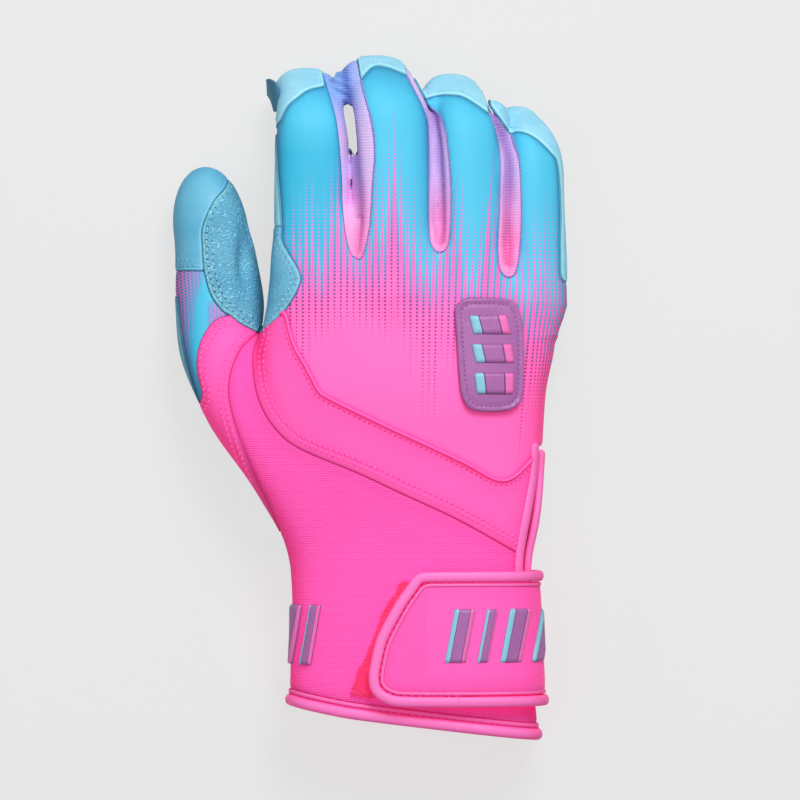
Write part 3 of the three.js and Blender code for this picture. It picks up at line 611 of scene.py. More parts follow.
seams = {
    "gapOne": [(-0.132, 0.514), (-0.116, 0.47), (-0.083, 0.404), (-0.07, 0.333), (-0.065, 0.26),
               (-0.052, 0.216), (-0.032, 0.202), (-0.019, 0.205), (-0.001, 0.248), (0.006, 0.308),
               (0.012, 0.356), (0.004, 0.4), (-0.022, 0.458), (-0.04, 0.514)],
    "gapTwo": [(0.083, 0.514), (0.096, 0.476), (0.145, 0.416), (0.155, 0.376), (0.155, 0.243),
               (0.165, 0.217), (0.183, 0.211), (0.201, 0.226), (0.206, 0.271), (0.203, 0.338),
               (0.185, 0.403), (0.145, 0.436), (0.129, 0.514)],
    "gapThree": [(0.257, 0.507), (0.265, 0.458), (0.311, 0.413), (0.334, 0.366), (0.336, 0.299),
                 (0.331, 0.214), (0.336, 0.186), (0.354, 0.175), (0.372, 0.181), (0.382, 0.214),
                 (0.387, 0.271), (0.382, 0.343), (0.362, 0.385), (0.334, 0.492)],
    "middleOne": [(-0.075, 0.492), (-0.055, 0.422), (-0.044, 0.378), (-0.0385, 0.35), (-0.034, 0.322),
                  (-0.029, 0.293), (-0.028, 0.258), (-0.032, 0.214)],
    "middleTwo": [(0.11, 0.53), (0.152, 0.441), (0.168, 0.385), (0.175, 0.338), (0.178, 0.293), (0.18, 0.229)],
    "middleThree": [(0.29, 0.5), (0.316, 0.419), (0.339, 0.385), (0.353, 0.346), (0.352, 0.293),
                    (0.352, 0.229), (0.354, 0.197)],
    "capIndex": [(-0.224, 0.248), (-0.236, 0.333), (-0.24, 0.39), (-0.228, 0.404), (-0.209, 0.425),
                 (-0.183, 0.438), (-0.156, 0.449), (-0.115, 0.455)],
    "capMiddle": [(-0.022, 0.464), (0.009, 0.483), (0.042, 0.483), (0.096, 0.471)],
    "capRing": [(0.145, 0.436), (0.175, 0.441), (0.208, 0.442), (0.244, 0.438), (0.309, 0.413)],
    "capLittle": [(0.362, 0.385), (0.385, 0.388), (0.423, 0.379), (0.464, 0.357), (0.482, 0.338),
                  (0.49, 0.271), (0.488, 0.22), (0.492, 0.173), (0.526, 0.169)],
    "wrap": [(-0.221, 0.248), (-0.219, 0.224), (-0.178, 0.181), (-0.18, 0.159), (-0.214, 0.126),
             (-0.262, 0.1), (-0.283, 0.093)],
    "bandTop": [(-0.214, 0.126), (-0.193, 0.078), (-0.162, 0.045), (-0.134, 0.015), (-0.121, 0.004),
                (-0.035, -0.021), (0.078, -0.052), (0.162, -0.074), (0.252, -0.099), (0.321, -0.121),
                (0.362, -0.119), (0.405, -0.096), (0.439, -0.072)],
    "bandBottom": [(-0.283, 0.093), (-0.298, 0.059), (-0.29, 0.011), (-0.265, -0.026), (-0.221, -0.058),
                   (-0.162, -0.08), (-0.035, -0.11), (0.078, -0.14), (0.231, -0.181), (0.402, -0.236)],
    "saddle": [(-0.288, 0.094), (-0.331, 0.068), (-0.357, 0.03), (-0.357, -0.01), (-0.331, -0.062),
               (-0.29, -0.121), (-0.265, -0.15), (-0.23, -0.2), (-0.21, -0.25)],
    "saddleEdge": [(-0.357, 0.119), (-0.393, 0.112), (-0.426, 0.088), (-0.441, 0.059), (-0.441, 0.034),
                   (-0.431, -0.002), (-0.47, -0.035)],
    "thumb": [(-0.352, 0.36), (-0.367, 0.312), (-0.4, 0.286), (-0.428, 0.248), (-0.428, 0.214),
              (-0.423, 0.183), (-0.405, 0.148), (-0.375, 0.125), (-0.357, 0.119), (-0.331, 0.107),
              (-0.288, 0.094)],
    "crotch": [(-0.275, 0.25), (-0.266, 0.185), (-0.263, 0.141), (-0.272, 0.112)],
    "thenar": [(-0.275, 0.25), (-0.266, 0.185), (-0.263, 0.141), (-0.272, 0.112), (-0.245, 0.04),
               (-0.225, -0.03), (-0.25, -0.11), (-0.32, -0.17)],
    "slit": [(0.439, -0.068), (0.433, -0.115), (0.419, -0.165), (0.404, -0.21), (0.396, -0.254),
             (0.404, -0.356), (0.41, -0.52)],
    "hemEnd": [(-0.275, -0.445), (-0.203, -0.4525), (-0.178, -0.456), (-0.101, -0.465), (-0.027, -0.472),
               (0.196, -0.4875), (0.382, -0.5), (0.513, -0.508)],
    "thumbEdge": [(-0.494, 0.147), (-0.485, 0.1), (-0.474, 0.062), (-0.457, 0.025), (-0.436, -0.01)],
    "wrist": [(-0.35, -0.237), (0.078, -0.257), (0.53, -0.257)],
}
seams = {name: smoothed(place(points), 0.8) for name, points in seams.items()}


def outline(*parts):
    return np.vstack([seams[part] if isinstance(part, str) else place(part) for part in parts])


def turned(name):
    return seams[name][::-1] / (glove["width"], glove["length"])


def nearLine(xy, line, edge, far, measure):
    out = np.full(len(xy), float(far))
    rows = np.flatnonzero(((xy > line.min(0) - fieldReach) & (xy < line.max(0) + fieldReach)).all(1))
    for part in np.array_split(rows, max(1, len(rows) // 4000)):
        p = xy[part][:, None]
        t = np.clip(((p - line[:len(edge)]) * edge).sum(2) / ((edge ** 2).sum(1) + 1e-12), 0, 1)
        out[part] = measure(p, t[..., None] * edge)
    return np.clip(out, -fieldReach, fieldReach)


def insideGap(xy, line):
    # millimetres in from a closed outline, less than zero outside it
    a, b = line, np.roll(line, -1, axis=0)
    edge = b - a

    def measure(p, step):
        gap = np.sqrt(((a + step - p) ** 2).sum(2).min(1))
        across = (a[:, 1] > p[..., 1]) != (b[:, 1] > p[..., 1])
        rise = np.where(np.abs(edge[:, 1]) < 1e-9, 1e-9, edge[:, 1])
        left = p[..., 0] < edge[:, 0] * (p[..., 1] - a[:, 1]) / rise + a[:, 0]
        return np.where((across & left).sum(1) % 2 == 1, gap, -gap)

    return nearLine(xy, line, edge, -fieldReach, measure)


def lineGap(xy, line):
    # signed distance from an open line, more than zero on its left
    edge = np.diff(line, axis=0)

    def measure(p, step):
        away = p - line[:-1] - step
        gap = (away ** 2).sum(2)
        k = gap.argmin(1)
        pick = (np.arange(len(p)), k)
        side = edge[k, 0] * away[pick][:, 1] - edge[k, 1] * away[pick][:, 0]
        return np.sqrt(gap[pick]) * np.where(side < 0, -1, 1)

    return nearLine(xy, line, edge, fieldReach, measure)


def fingerRise(p, finger):
    u, over, along, arc = fingerPlace(p, finger)
    slope, curl, radius = fingerBend["slope"], fingerBend["curl"], finger["curlRadius"]
    angle = np.clip(slope + (along - finger["straight"]) / radius, slope, curl)
    way = np.stack([np.zeros(len(p)), np.cos(angle), -np.sin(angle)], 1) @ finger["turn"].T
    middle = p - (np.stack([u, over * np.sin(angle), over * np.cos(angle)], 1) @ finger["turn"].T)
    side = unit(np.stack([way[:, 1], -way[:, 0], np.zeros(len(p))], 1))
    return ((p - middle) * np.cross(side, way)).sum(1) + fingerBend["partingDrop"] * finger["thickness"]


def sideRise(p, parts):
    # how far a point lies over the seam between the palm and the back of the glove
    hand, digits, thumbSide = parts
    weight = np.exp(-np.maximum(hand, 0) / 1.5)
    parting = 22 - ramp(p[:, 0], 35, 60) * (7 + 6 * ramp(-p[:, 1], 8, 20))
    parting = parting - 8 * ramp(-p[:, 0], 12, 26) * ramp(-p[:, 1], 22, 40)
    total, rise = weight.copy(), weight * (p[:, 2] - parting)
    for gap, finger in zip(digits, fingers.values()):
        weight = np.exp(-np.maximum(gap, 0) / 1.5) * (gap < 20)
        total += weight
        rise += weight * fingerRise(p, finger)
    u, along = thumbPlace(p)
    weight = np.exp(-np.maximum(thumbSide, 0) / 1.5)
    rise += weight * (p[:, 2] - np.interp(along, thumbRun, thumbTable[:, 3])
                      + thumb["partingDrop"] * thumb["thickness"])
    return rise / (total + weight)


rng = np.random.default_rng(7)


def ripple(p, waves, short, long):
    # slow swells, as cloth has over a hand
    out = np.zeros(len(p))
    for _ in range(waves):
        way = rng.normal(size=3)
        way /= np.linalg.norm(way)
        out += np.sin(p @ way * (2 * np.pi / rng.uniform(short, long)) + rng.uniform(0, 6.28))
    return out / math.sqrt(waves)


skin = wrapMesh(gloveGap, (-76, -140, -2.4), (76, 126, 52))
print("glove: skin of", len(skin["faces"]), "triangles")
at = skin["points"]
parts = gloveParts(at)
rise = sideRise(at, parts)
plan = at[:, :2]
folds = [lineGap(plan, seams[name]) for name in ("middleOne", "middleTwo", "middleThree")]
nearFold = np.minimum.reduce([np.abs(gap) for gap in folds])
rise = rise + 7 * np.exp(-(nearFold / 3) ** 2)  # the strips between the fingers reach down their sides


hemWidth, cuffFoot = 5.9, -99.5
thumbHem = [(-0.54, 0.186), (-0.485, 0.185), (-0.35, 0.183)]
zoneOutlines = {
    "gapOne": ["gapOne"],
    "gapTwo": ["gapTwo"],
    "gapThree": ["gapThree"],
    "capIndex": ["capIndex", [(-0.132, 0.514), (-0.3, 0.514), (-0.3, 0.25)]],
    "capMiddle": ["capMiddle", [(0.083, 0.53), (-0.04, 0.53)]],
    "capRing": ["capRing", [(0.257, 0.507), (0.1, 0.507), (0.117, 0.465)]],
    "capLittle": ["capLittle", [(0.56, 0.3), (0.56, 0.5), (0.295, 0.48), (0.311, 0.426)]],
    "wrap": ["wrap", turned("crotch")],
    "band": ["bandTop", turned("bandBottom")],
    "aboveBand": ["bandTop", [(0.53, -0.064), (0.6, 0.1), (0.6, 0.6), (-0.3, 0.6), (-0.3, 0.2), (-0.24, 0.14)]],
    "grained": ["thumb", turned("crotch"), [(-0.275, 0.4), (-0.352, 0.4)]],
    "saddle": ["saddle", [(-0.47, -0.25)], turned("saddleEdge"), [(-0.357, 0.16), (-0.288, 0.16)]],
    "thumbBack": [thumbHem, "saddleEdge", [(-0.54, -0.03)]],
    "thumbCap": [thumbHem + [(-0.352, 0.4), (-0.54, 0.4)]],
    "cuff": ["bandBottom", [(0.402, -0.254), (0.412, -0.356), (0.414, -0.41), (0.56, -0.41), (0.56, -0.6),
                            (-0.3, -0.6)], turned("saddle")],
    "thenar": ["thenar", [(-0.6, -0.17), (-0.6, 0.5), (-0.275, 0.5)]],
    "overWrist": ["wrist", [(0.56, 0.55), (-0.6, 0.55), (-0.6, -0.2)]],
    "thumbEdge": ["thumbEdge", [(-0.6, -0.01), (-0.6, 0.147)]],
    "hemEnd": ["hemEnd", [(0.9, 0.6), (-0.9, 0.6), (-0.9, -0.44)]],
    "pastSlit": ["slit", [(0.6, -0.6), (0.6, -0.064)]],
}
zones = {name: insideGap(plan, outline(*lines)) for name, lines in zoneOutlines.items()}
zones["hem"] = hemWidth - zones["hemEnd"]
zones["pastSlit"] = np.minimum(zones["pastSlit"], at[:, 1] - cuffFoot)
slitAcross = lineGap(plan, seams["slit"])
slitGap = np.maximum(np.abs(slitAcross) - 0.9, cuffFoot - at[:, 1])
gapNames = ("gapOne", "gapTwo", "gapThree")
capNames = ("capIndex", "capMiddle", "capRing", "capLittle")
gaps, caps = [np.maximum.reduce([zones[name] for name in names]) for names in (gapNames, capNames)]


def least(*values):
    return np.minimum.reduce(values)


panelFields = {
    "palmLeather": np.maximum(least(-rise, -zones["thenar"], zones["overWrist"]), caps),
    "thumbPalmLeather": np.maximum(least(np.maximum(-rise, zones["thumbEdge"]), zones["thenar"],
                                         zones["overWrist"]), zones["grained"]),
    "backPanel": least(rise, zones["aboveBand"], -zones["wrap"], -gaps, -caps),
    "fourchetteOne": least(rise, zones["gapOne"], -caps),
    "fourchetteTwo": least(rise, zones["gapTwo"], -caps),
    "fourchetteThree": least(rise, zones["gapThree"], -caps),
    "indexWrap": least(rise, zones["wrap"]),
    "wristBand": least(rise, zones["band"], slitGap),
    "thumbCap": least(rise, zones["thumbCap"], -zones["grained"]),
    "thumbBack": least(rise, zones["thumbBack"], -zones["grained"], -zones["thumbEdge"]),
    "thumbSaddle": least(rise, zones["saddle"], -zones["grained"], -zones["thumbEdge"]),
    "cuffBack": least(rise, zones["cuff"], -zones["hem"], slitGap),
    "cuffPalm": least(np.maximum(least(-rise, -zones["overWrist"]), least(rise, zones["pastSlit"])),
                      -zones["hem"], slitGap),
}
print("glove: zones measured")


# Materials: small groups of nodes give masks and heights, and each finish uses them in its own way

def newGroup(name, inputs, outputs):
    group = bpy.data.node_groups.new(name, "ShaderNodeTree")
    for label, value in inputs.items():
        kind = "NodeSocketVector" if value is None else "NodeSocketFloat"
        socket = group.interface.new_socket(label, in_out="INPUT", socket_type=kind)
        if value is not None:
            socket.default_value = value
    for label in outputs:
        group.interface.new_socket(label, in_out="OUTPUT", socket_type="NodeSocketFloat")
    return group, group.nodes.new("NodeGroupInput").outputs, group.nodes.new("NodeGroupOutput").inputs


def add(tree, kind, **settings):
    node = tree.nodes.new("ShaderNode" + kind)
    for key, value in settings.items():
        setattr(node, key, value)
    return node


def feed(tree, source, target):
    # joins an output to an input, or sets the input
    if isinstance(source, bpy.types.NodeSocket):
        tree.links.new(source, target)
    elif isinstance(source, tuple) and len(source) == 3 and len(target.default_value) == 4:
        target.default_value = (*source, 1)
    else:
        target.default_value = source


def figure(tree, operation, *values):
    node = add(tree, "Math", operation=operation)
    for value, socket in zip(values, node.inputs):
        feed(tree, value, socket)
    return node.outputs[0]


def blendOf(tree, share, first, second, kind="MIX"):
    node = add(tree, "Mix", data_type="RGBA", blend_type=kind)
    for value, socket in ((share, node.inputs["Factor"]), (first, node.inputs[6]), (second, node.inputs[7])):
        feed(tree, value, socket)
    return node.outputs[2]


def span(tree, value, low, high, toLow=0.0, toHigh=1.0, smooth=False):
    node = add(tree, "MapRange", interpolation_type="SMOOTHSTEP" if smooth else "LINEAR")
    for key, number in (("Value", value), ("From Min", low), ("From Max", high), ("To Min", toLow),
                        ("To Max", toHigh)):
        feed(tree, number, node.inputs[key])
    return node.outputs["Result"]


def times(tree, *values):
    return figure(tree, "MULTIPLY", *values)


def plus(tree, *values):
    return figure(tree, "ADD", *values)


def minus(tree, *values):
    return figure(tree, "SUBTRACT", *values)


def ratio(tree, *values):
    return figure(tree, "DIVIDE", *values)


def split(tree, vector):
    node = add(tree, "SeparateXYZ")
    tree.links.new(vector, node.inputs[0])
    return node.outputs


def texture(tree, kind, vector, settings=None, **inputs):
    node = add(tree, kind, **(settings or {}))
    tree.links.new(vector, node.inputs["Vector"])
    for key, value in inputs.items():
        feed(tree, value, node.inputs[key])
    return node.outputs


def randomOf(tree, value):
    node = add(tree, "TexWhiteNoise", noise_dimensions="1D")
    tree.links.new(value, node.inputs["W"])
    return node.outputs["Value"]


fullTurn = 2 * math.pi
fadeMiddle, fadeLength = 49.5, 37.5  # where the printed fade is half done, and its length


def makeRibs():
    # knitted ribs across the cloth and the wales along it, from a place in millimetres
    group, given, out = newGroup("knitRibs", {"Place": None, "Pitch": 0.72, "Wale": 0.9}, ["Height", "Shade"])
    x, y, z = split(group, given["Place"])
    wander = texture(group, "TexNoise", given["Place"], Scale=0.25)
    shift = span(group, wander["Fac"], 0.0, 1.0, -0.4, 0.4)
    row = ratio(group, plus(group, y, shift), given["Pitch"])
    rib = figure(group, "SINE", times(group, row, fullTurn))
    wale = figure(group, "SINE", times(group, ratio(group, x, given["Wale"]), fullTurn))
    height = plus(group, times(group, rib, 0.5), times(group, wale, 0.2))
    group.links.new(height, out["Height"])
    group.links.new(span(group, height, -0.7, 0.7), out["Shade"])
    return group


def makeDots():
    # a printed fade: dots on columns of their own lengths, that grow until only dots are left between them
    group, given, out = newGroup("dotFade", {"Place": None, "Column": 2.4, "Dot": 1.4, "Scatter": 4.0,
                                             "Share": 0.66, "Stagger": 0.0}, ["Ink", "Fade"])
    u, v, lag = split(group, given["Place"])
    column = ratio(group, u, given["Column"])
    lower = figure(group, "FLOOR", column)
    across = minus(group, column, lower)
    own = [randomOf(group, plus(group, lower, step)) for step in (0.0, 1.0)]
    ease = span(group, across, 0.4, 0.6, smooth=True)
    mixed = plus(group, times(group, own[0], minus(group, 1.0, ease)), times(group, own[1], ease))
    shift = times(group, minus(group, mixed, 0.5), times(group, given["Scatter"], 2.0))
    along = plus(group, plus(group, v, lag), shift)
    even = ratio(group, minus(group, along, fadeMiddle), fadeLength)
    single = times(group, minus(group, own[0], 0.5), 0.7)
    tail = randomOf(group, figure(group, "FLOOR", ratio(group, plus(group, lower, 77.7), 3.4)))
    later = plus(group, plus(group, even, single), span(group, tail, 0.0, 1.0, -1.0, 0.55))
    fade = figure(group, "MAXIMUM", even, plus(group, times(group, later, 0.36), -0.48))
    columnWave = figure(group, "COSINE", times(group, across, fullTurn))
    odd = times(group, figure(group, "MODULO", plus(group, lower, 400.0), 2.0), given["Stagger"])
    row = plus(group, ratio(group, v, given["Dot"]), odd)
    dotWave = figure(group, "COSINE", times(group, row, fullTurn))
    wave = plus(group, times(group, columnWave, given["Share"]),
                times(group, dotWave, minus(group, 1.0, given["Share"])))
    group.links.new(span(group, minus(group, wave, fade), -0.1, 0.1), out["Ink"])
    group.links.new(fade, out["Fade"])
    return group


def makeGrain():
    # leather: fine pores, and creases that run one way
    group, given, out = newGroup("leatherGrain", {"Place": None, "Crease": 0.6, "Stretch": 0.32, "Turn": -0.45},
                                 ["Crease", "Pore", "Cloud"])
    turned = texture(group, "VectorRotate", given["Place"], {"rotation_type": "Z_AXIS"}, Angle=given["Turn"])
    x, y, z = split(group, turned["Vector"])
    stretched = add(group, "CombineXYZ")
    for source, socket in zip((times(group, x, given["Stretch"]), y, z), stretched.inputs):
        group.links.new(source, socket)
    folds = texture(group, "TexNoise", stretched.outputs[0], Scale=given["Crease"], Detail=2, Distortion=0.3)
    away = figure(group, "ABSOLUTE", minus(group, folds["Fac"], 0.5))
    group.links.new(span(group, away, 0.0, 0.16, smooth=True), out["Crease"])
    group.links.new(texture(group, "TexVoronoi", given["Place"], Scale=1.5)["Distance"], out["Pore"])
    cloud = texture(group, "TexNoise", given["Place"], Scale=0.09, Detail=3)
    group.links.new(span(group, cloud["Fac"], 0.35, 0.65), out["Cloud"])
    return group


def makeSeamShade():
    # painted shade dark into the fold along a sewn edge, and a painted highlight on the lighter rounded strip
    # beside it
    group, given, out = newGroup("seamShade", {"Edge": 1.0, "Width": 0.5}, ["Fold", "RollHighlight"])
    near = ratio(group, given["Edge"], given["Width"])
    foldShade = figure(group, "POWER", 2.718, times(group, figure(group, "POWER", near, 2.0), -1.0))
    past = minus(group, near, 2.2)
    roll = figure(group, "POWER", 2.718, times(group, times(group, past, past), -1.0))
    group.links.new(foldShade, out["Fold"])
    group.links.new(roll, out["RollHighlight"])
    return group


ribGroup, dotGroup, grainGroup, edgeGroup = makeRibs(), makeDots(), makeGrain(), makeSeamShade()
finishes = {}


def newMaterial(name, color, roughness, sheen=0.0):
    material = finishes[name] = bpy.data.materials.new(name)
    material.use_nodes = True
    shader = material.node_tree.nodes["Principled BSDF"]
    for key, value in (("Base Color", (*color, 1)), ("Roughness", roughness), ("Sheen Weight", sheen)):
        shader.inputs[key].default_value = value
    return material.node_tree, shader


def placeOf(tree):
    return add(tree, "Attribute", attribute_name="weave", attribute_type="GEOMETRY").outputs["Vector"]


def solidPlace(tree):
    # the place on the rested glove in millimetres, turned with it
    scaled = add(tree, "VectorMath", operation="SCALE")
    tree.links.new(add(tree, "TexCoord").outputs["Object"], scaled.inputs[0])
    scaled.inputs["Scale"].default_value = 1000
    return scaled.outputs[0]


def grouped(tree, group, place, **inputs):
    node = add(tree, "Group", node_tree=group)
    tree.links.new(place, node.inputs["Place"])
    for key, value in inputs.items():
        node.inputs[key].default_value = value
    return node.outputs


def edgeOf(tree, width):
    node = add(tree, "Group", node_tree=edgeGroup)
    edge = add(tree, "Attribute", attribute_name="edge", attribute_type="GEOMETRY")
    tree.links.new(edge.outputs["Fac"], node.inputs["Edge"])
    node.inputs["Width"].default_value = width
    return node.outputs


def paint(tree, shader, color, height, distance):
    # the last step of a finish: its colour, and a bump as high as the distance in millimetres
    tree.links.new(color, shader.inputs["Base Color"])
    node = add(tree, "Bump")
    node.inputs["Distance"].default_value = distance * mm
    tree.links.new(height, node.inputs["Height"])
    tree.links.new(node.outputs["Normal"], shader.inputs["Normal"])


def paintedGlow(tree, shader, strength, share=None):
    # painted glow: an emission that keeps the pink, a fluorescent dye, bright where the cloth turns away into
    # shade
    shader.inputs["Emission Color"].default_value = (1, 0.0, 0.17, 1)
    feed(tree, strength if share is None else times(tree, share, strength), shader.inputs["Emission Strength"])


def tinted(tree, color, tint):
    return blendOf(tree, 1.0, color, tint, "MULTIPLY")


def shadeTurnedAway(tree, color, tint):
    # painted shade: the colour is darkened towards the tint where the surface turns away from the view
    weight = add(tree, "LayerWeight")
    weight.inputs["Blend"].default_value = 0.5
    away = span(tree, weight.outputs["Facing"], 0.08, 0.68, smooth=True)
    return blendOf(tree, away, color, tinted(tree, color, tint))


def knit(name, light, dark, foldShade, pitch, depth, roughness=0.8, sheen=0.1, glow=0.35, tint=(0.9, 0.4, 0.6)):
    tree, shader = newMaterial(name, light, roughness, sheen)
    ribs = grouped(tree, ribGroup, placeOf(tree), Pitch=pitch)
    color = blendOf(tree, ribs["Shade"], dark, light)
    # painted shade: the fold colour darkens each seam
    color = blendOf(tree, edgeOf(tree, 0.35)["Fold"], color, foldShade)
    # painted shade: a wide, faint darkening beside each seam
    besideSeamShade = times(tree, edgeOf(tree, 6.0)["Fold"], 0.35)
    color = blendOf(tree, besideSeamShade, color, tinted(tree, color, (0.95, 0.35, 0.6)))
    paintedGlow(tree, shader, glow, span(tree, edgeOf(tree, 1.6)["Fold"], 1.0, 0.0, 0.45, 1.0))
    # painted shade: deeper towards the tint where the knit turns away
    paint(tree, shader, shadeTurnedAway(tree, color, tint), ribs["Height"], depth)


def leather(name, light, dark, foldShade, creaseShade, creaseDepth, crease=0.6, stretch=0.32, turn=-0.45,
            away=(0.8, 0.9, 0.94)):
    tree, shader = newMaterial(name, light, 0.5)
    grain = grouped(tree, grainGroup, solidPlace(tree), Crease=crease, Stretch=stretch, Turn=turn)
    cloudy = blendOf(tree, grain["Cloud"], light, dark)
    # painted shade in the creases of the grain, towards the fold colour
    color = blendOf(tree, times(tree, minus(tree, 1.0, grain["Crease"]), creaseShade), cloudy, foldShade)
    edge = edgeOf(tree, 0.3)
    # painted shade along the seam
    color = blendOf(tree, edge["Fold"], color, foldShade)
    # painted highlight on the rounded strip beside the seam
    highlightColor = tuple(min(1, value * 1.2 + 0.06) for value in light)
    color = blendOf(tree, times(tree, edge["RollHighlight"], 0.6), color, highlightColor)
    height = plus(tree, grain["Crease"], times(tree, grain["Pore"], 0.3))
    # painted shade: deeper towards the away tint where the leather turns away
    paint(tree, shader, shadeTurnedAway(tree, color, away), height, creaseDepth)


def printed(name, column, dot, scatter, dim=(0.25, -0.35), violet=(0.1, 0.95), share=0.66, stagger=0.0):
    tree, shader = newMaterial(name, (1, 0.19, 0.59), 0.62, 0.05)
    dots = grouped(tree, dotGroup, placeOf(tree), Column=column, Dot=dot, Scatter=scatter, Share=share,
                   Stagger=stagger)
    ink, fade = dots["Ink"], dots["Fade"]
    x, y, lag = split(tree, placeOf(tree))
    # painted shade: the blue deepens as x falls from -6 to -12 mm and y from 99 to 86 mm, on the index finger
    # beside the middle one and at the left of the thumb's print
    leftShade = times(tree, span(tree, x, -6, -12, 0.0, 0.75), span(tree, y, 99, 86))
    plain = blendOf(tree, leftShade, (0.085, 0.65, 0.95), (0.02, 0.52, 0.81))
    blue = blendOf(tree, span(tree, fade, *dim), plain, (0.22, 0.14, 0.52))
    blue = blendOf(tree, span(tree, fade, -0.25, -0.6), blue, (0.34, 0.03, 0.2))
    pink = blendOf(tree, span(tree, fade, *violet), (1, 0.185, 0.6), (0.42, 0.28, 0.78))
    color = blendOf(tree, ink, blue, pink)
    # painted shade along the seams
    color = blendOf(tree, edgeOf(tree, 0.3)["Fold"], color, tinted(tree, color, (0.3, 0.4, 0.6)))
    pinkness = times(tree, ink, span(tree, fade, 0.6, -0.2))
    # painted shade where the print turns away
    color = shadeTurnedAway(tree, color, blendOf(tree, pinkness, (0.25, 0.55, 0.68), (0.95, 0.45, 0.6)))
    paintedGlow(tree, shader, 0.35, pinkness)
    paint(tree, shader, color, grouped(tree, ribGroup, placeOf(tree), Pitch=0.5)["Height"], 0.02)


def fourchetteKnit(name):
    # dyed from pink at the knuckles to lavender and blue at the fingertips
    tree, shader = newMaterial(name, (0.85, 0.4, 0.8), 0.8, 0.15)
    x, y, hollow = split(tree, placeOf(tree))
    ribs = grouped(tree, ribGroup, placeOf(tree), Pitch=0.98)
    blueShare = times(tree, span(tree, y, 92, 108), span(tree, x, 2, -8))
    color = blendOf(tree, span(tree, y, 50, 80), (1.0, 0.32, 0.74), (0.78, 0.55, 1.0))
    color = blendOf(tree, blueShare, color, (0.17, 0.42, 1.0))
    # painted shade in the folds between the fingers: hollow, the weave's third value, gives its share
    gapShade = blendOf(tree, span(tree, y, 50, 78), (0.7, 0.05, 0.32), (0.32, 0.15, 0.6))
    gapShade = blendOf(tree, blueShare, gapShade, (0.0, 0.12, 0.6))
    color = blendOf(tree, hollow, color, gapShade)
    color = blendOf(tree, times(tree, ribs["Shade"], 0.22), color, (1, 0.85, 1))
    paintedGlow(tree, shader, 0.2, span(tree, y, 80, 50))
    paint(tree, shader, color, ribs["Height"], 0.1)


def mouldedRubber(name):
    # purple faces, with a light-blue bevel on the left and a pink one on the right of each bar
    tree, shader = newMaterial(name, (0.47, 0.165, 0.46), 0.42)
    side, along, height = split(tree, placeOf(tree))
    specks = texture(tree, "TexNoise", solidPlace(tree), Scale=1.2)["Fac"]
    color = blendOf(tree, span(tree, specks, 0.3, 0.7), (0.5, 0.18, 0.49), (0.45, 0.15, 0.44))
    color = blendOf(tree, figure(tree, "LESS_THAN", side, -0.5), color, (0.3, 0.68, 0.86))
    color = blendOf(tree, figure(tree, "GREATER_THAN", side, 0.5), color, (1, 0.2, 0.58))
    line = figure(tree, "COMPARE", figure(tree, "ABSOLUTE", side), 0.5, 0.035)
    color = blendOf(tree, line, color, (0.2, 0.05, 0.25))
    # painted shade: darker on the rising wall within a quarter millimetre of the edge
    color = blendOf(tree, span(tree, height, 0.5, 0.0), color, (0.25, 0.06, 0.28))
    paint(tree, shader, color, specks, 0.01)


def thread(name, light, dark, roughness=0.6, sheen=0.05, glow=0):
    tree, shader = newMaterial(name, light, roughness, sheen)
    kind = {"wave_type": "BANDS", "bands_direction": "DIAGONAL"}
    ply = texture(tree, "TexWave", solidPlace(tree), kind, Scale=1.4)
    tree.links.new(blendOf(tree, ply["Fac"], dark, light), shader.inputs["Base Color"])
    if glow:
        paintedGlow(tree, shader, glow)


leather("palmLeather", (0.37, 0.8, 1.0), (0.3, 0.74, 0.98), (0.04, 0.33, 0.5), 0.08, 0.05, crease=0.3,
        stretch=0.6, turn=0.4, away=(1, 1, 1))
# a darker copy of the palm leather: painted shade on the underside of the curled corner
leather("shadedCornerLeather", (0.06, 0.28, 0.42), (0.04, 0.2, 0.32), (0.02, 0.14, 0.22), 0.1, 0.05)
leather("thumbLeather", (0.27, 0.76, 1.0), (0.2, 0.64, 0.94), (0.02, 0.22, 0.38), 0.4, 0.32, crease=1.15,
        stretch=0.36)
leather("wrapLeather", (0.2, 0.6, 0.84), (0.13, 0.49, 0.73), (0.02, 0.22, 0.38), 0.12, 0.1)
leather("capLeather", (0.165, 0.56, 0.79), (0.12, 0.5, 0.75), (0.02, 0.24, 0.38), 0.04, 0.03, crease=0.3,
        stretch=0.6)
printed("backPrint", 2.24, 1.32, 4.5)
printed("thumbPrint", 1.35, 1.1, 1.0, (0.9, -0.5), (-0.5, 0.8), 0.42, 0.5)
knit("bandFabric", (1, 0.165, 0.6), (0.97, 0.145, 0.56), (0.75, 0.03, 0.3), 0.45, 0.02, 0.65, 0.05)
knit("saddleFabric", (0.99, 0.165, 0.6), (0.95, 0.145, 0.56), (0.72, 0.03, 0.29), 0.45, 0.02, 0.65, 0.05)
knit("cuffKnit", (0.99, 0.175, 0.65), (0.95, 0.1, 0.53), (0.72, 0.03, 0.29), 0.8, 0.13)
knit("bindingTape", (0.97, 0.25, 0.68), (0.95, 0.23, 0.65), (0.6, 0.03, 0.25), 0.4, 0.02, 0.5, 0.05, 0.22,
     (0.95, 0.6, 0.75))
knit("strapFabric", (0.99, 0.165, 0.62), (0.95, 0.13, 0.56), (0.7, 0.03, 0.3), 0.6, 0.05, 0.65, 0.1,
     tint=(0.97, 0.7, 0.85))
knit("slitShade", (0.4, 0.012, 0.14), (0.32, 0.01, 0.1), (0.3, 0.01, 0.1), 0.6, 0.05, glow=0.03)
knit("loopPile", (1, 0.16, 0.4), (0.97, 0.08, 0.27), (0.95, 0.06, 0.25), 0.9, 0.2, 0.95, 0.3, 0.4, (1, 0.8, 0.8))
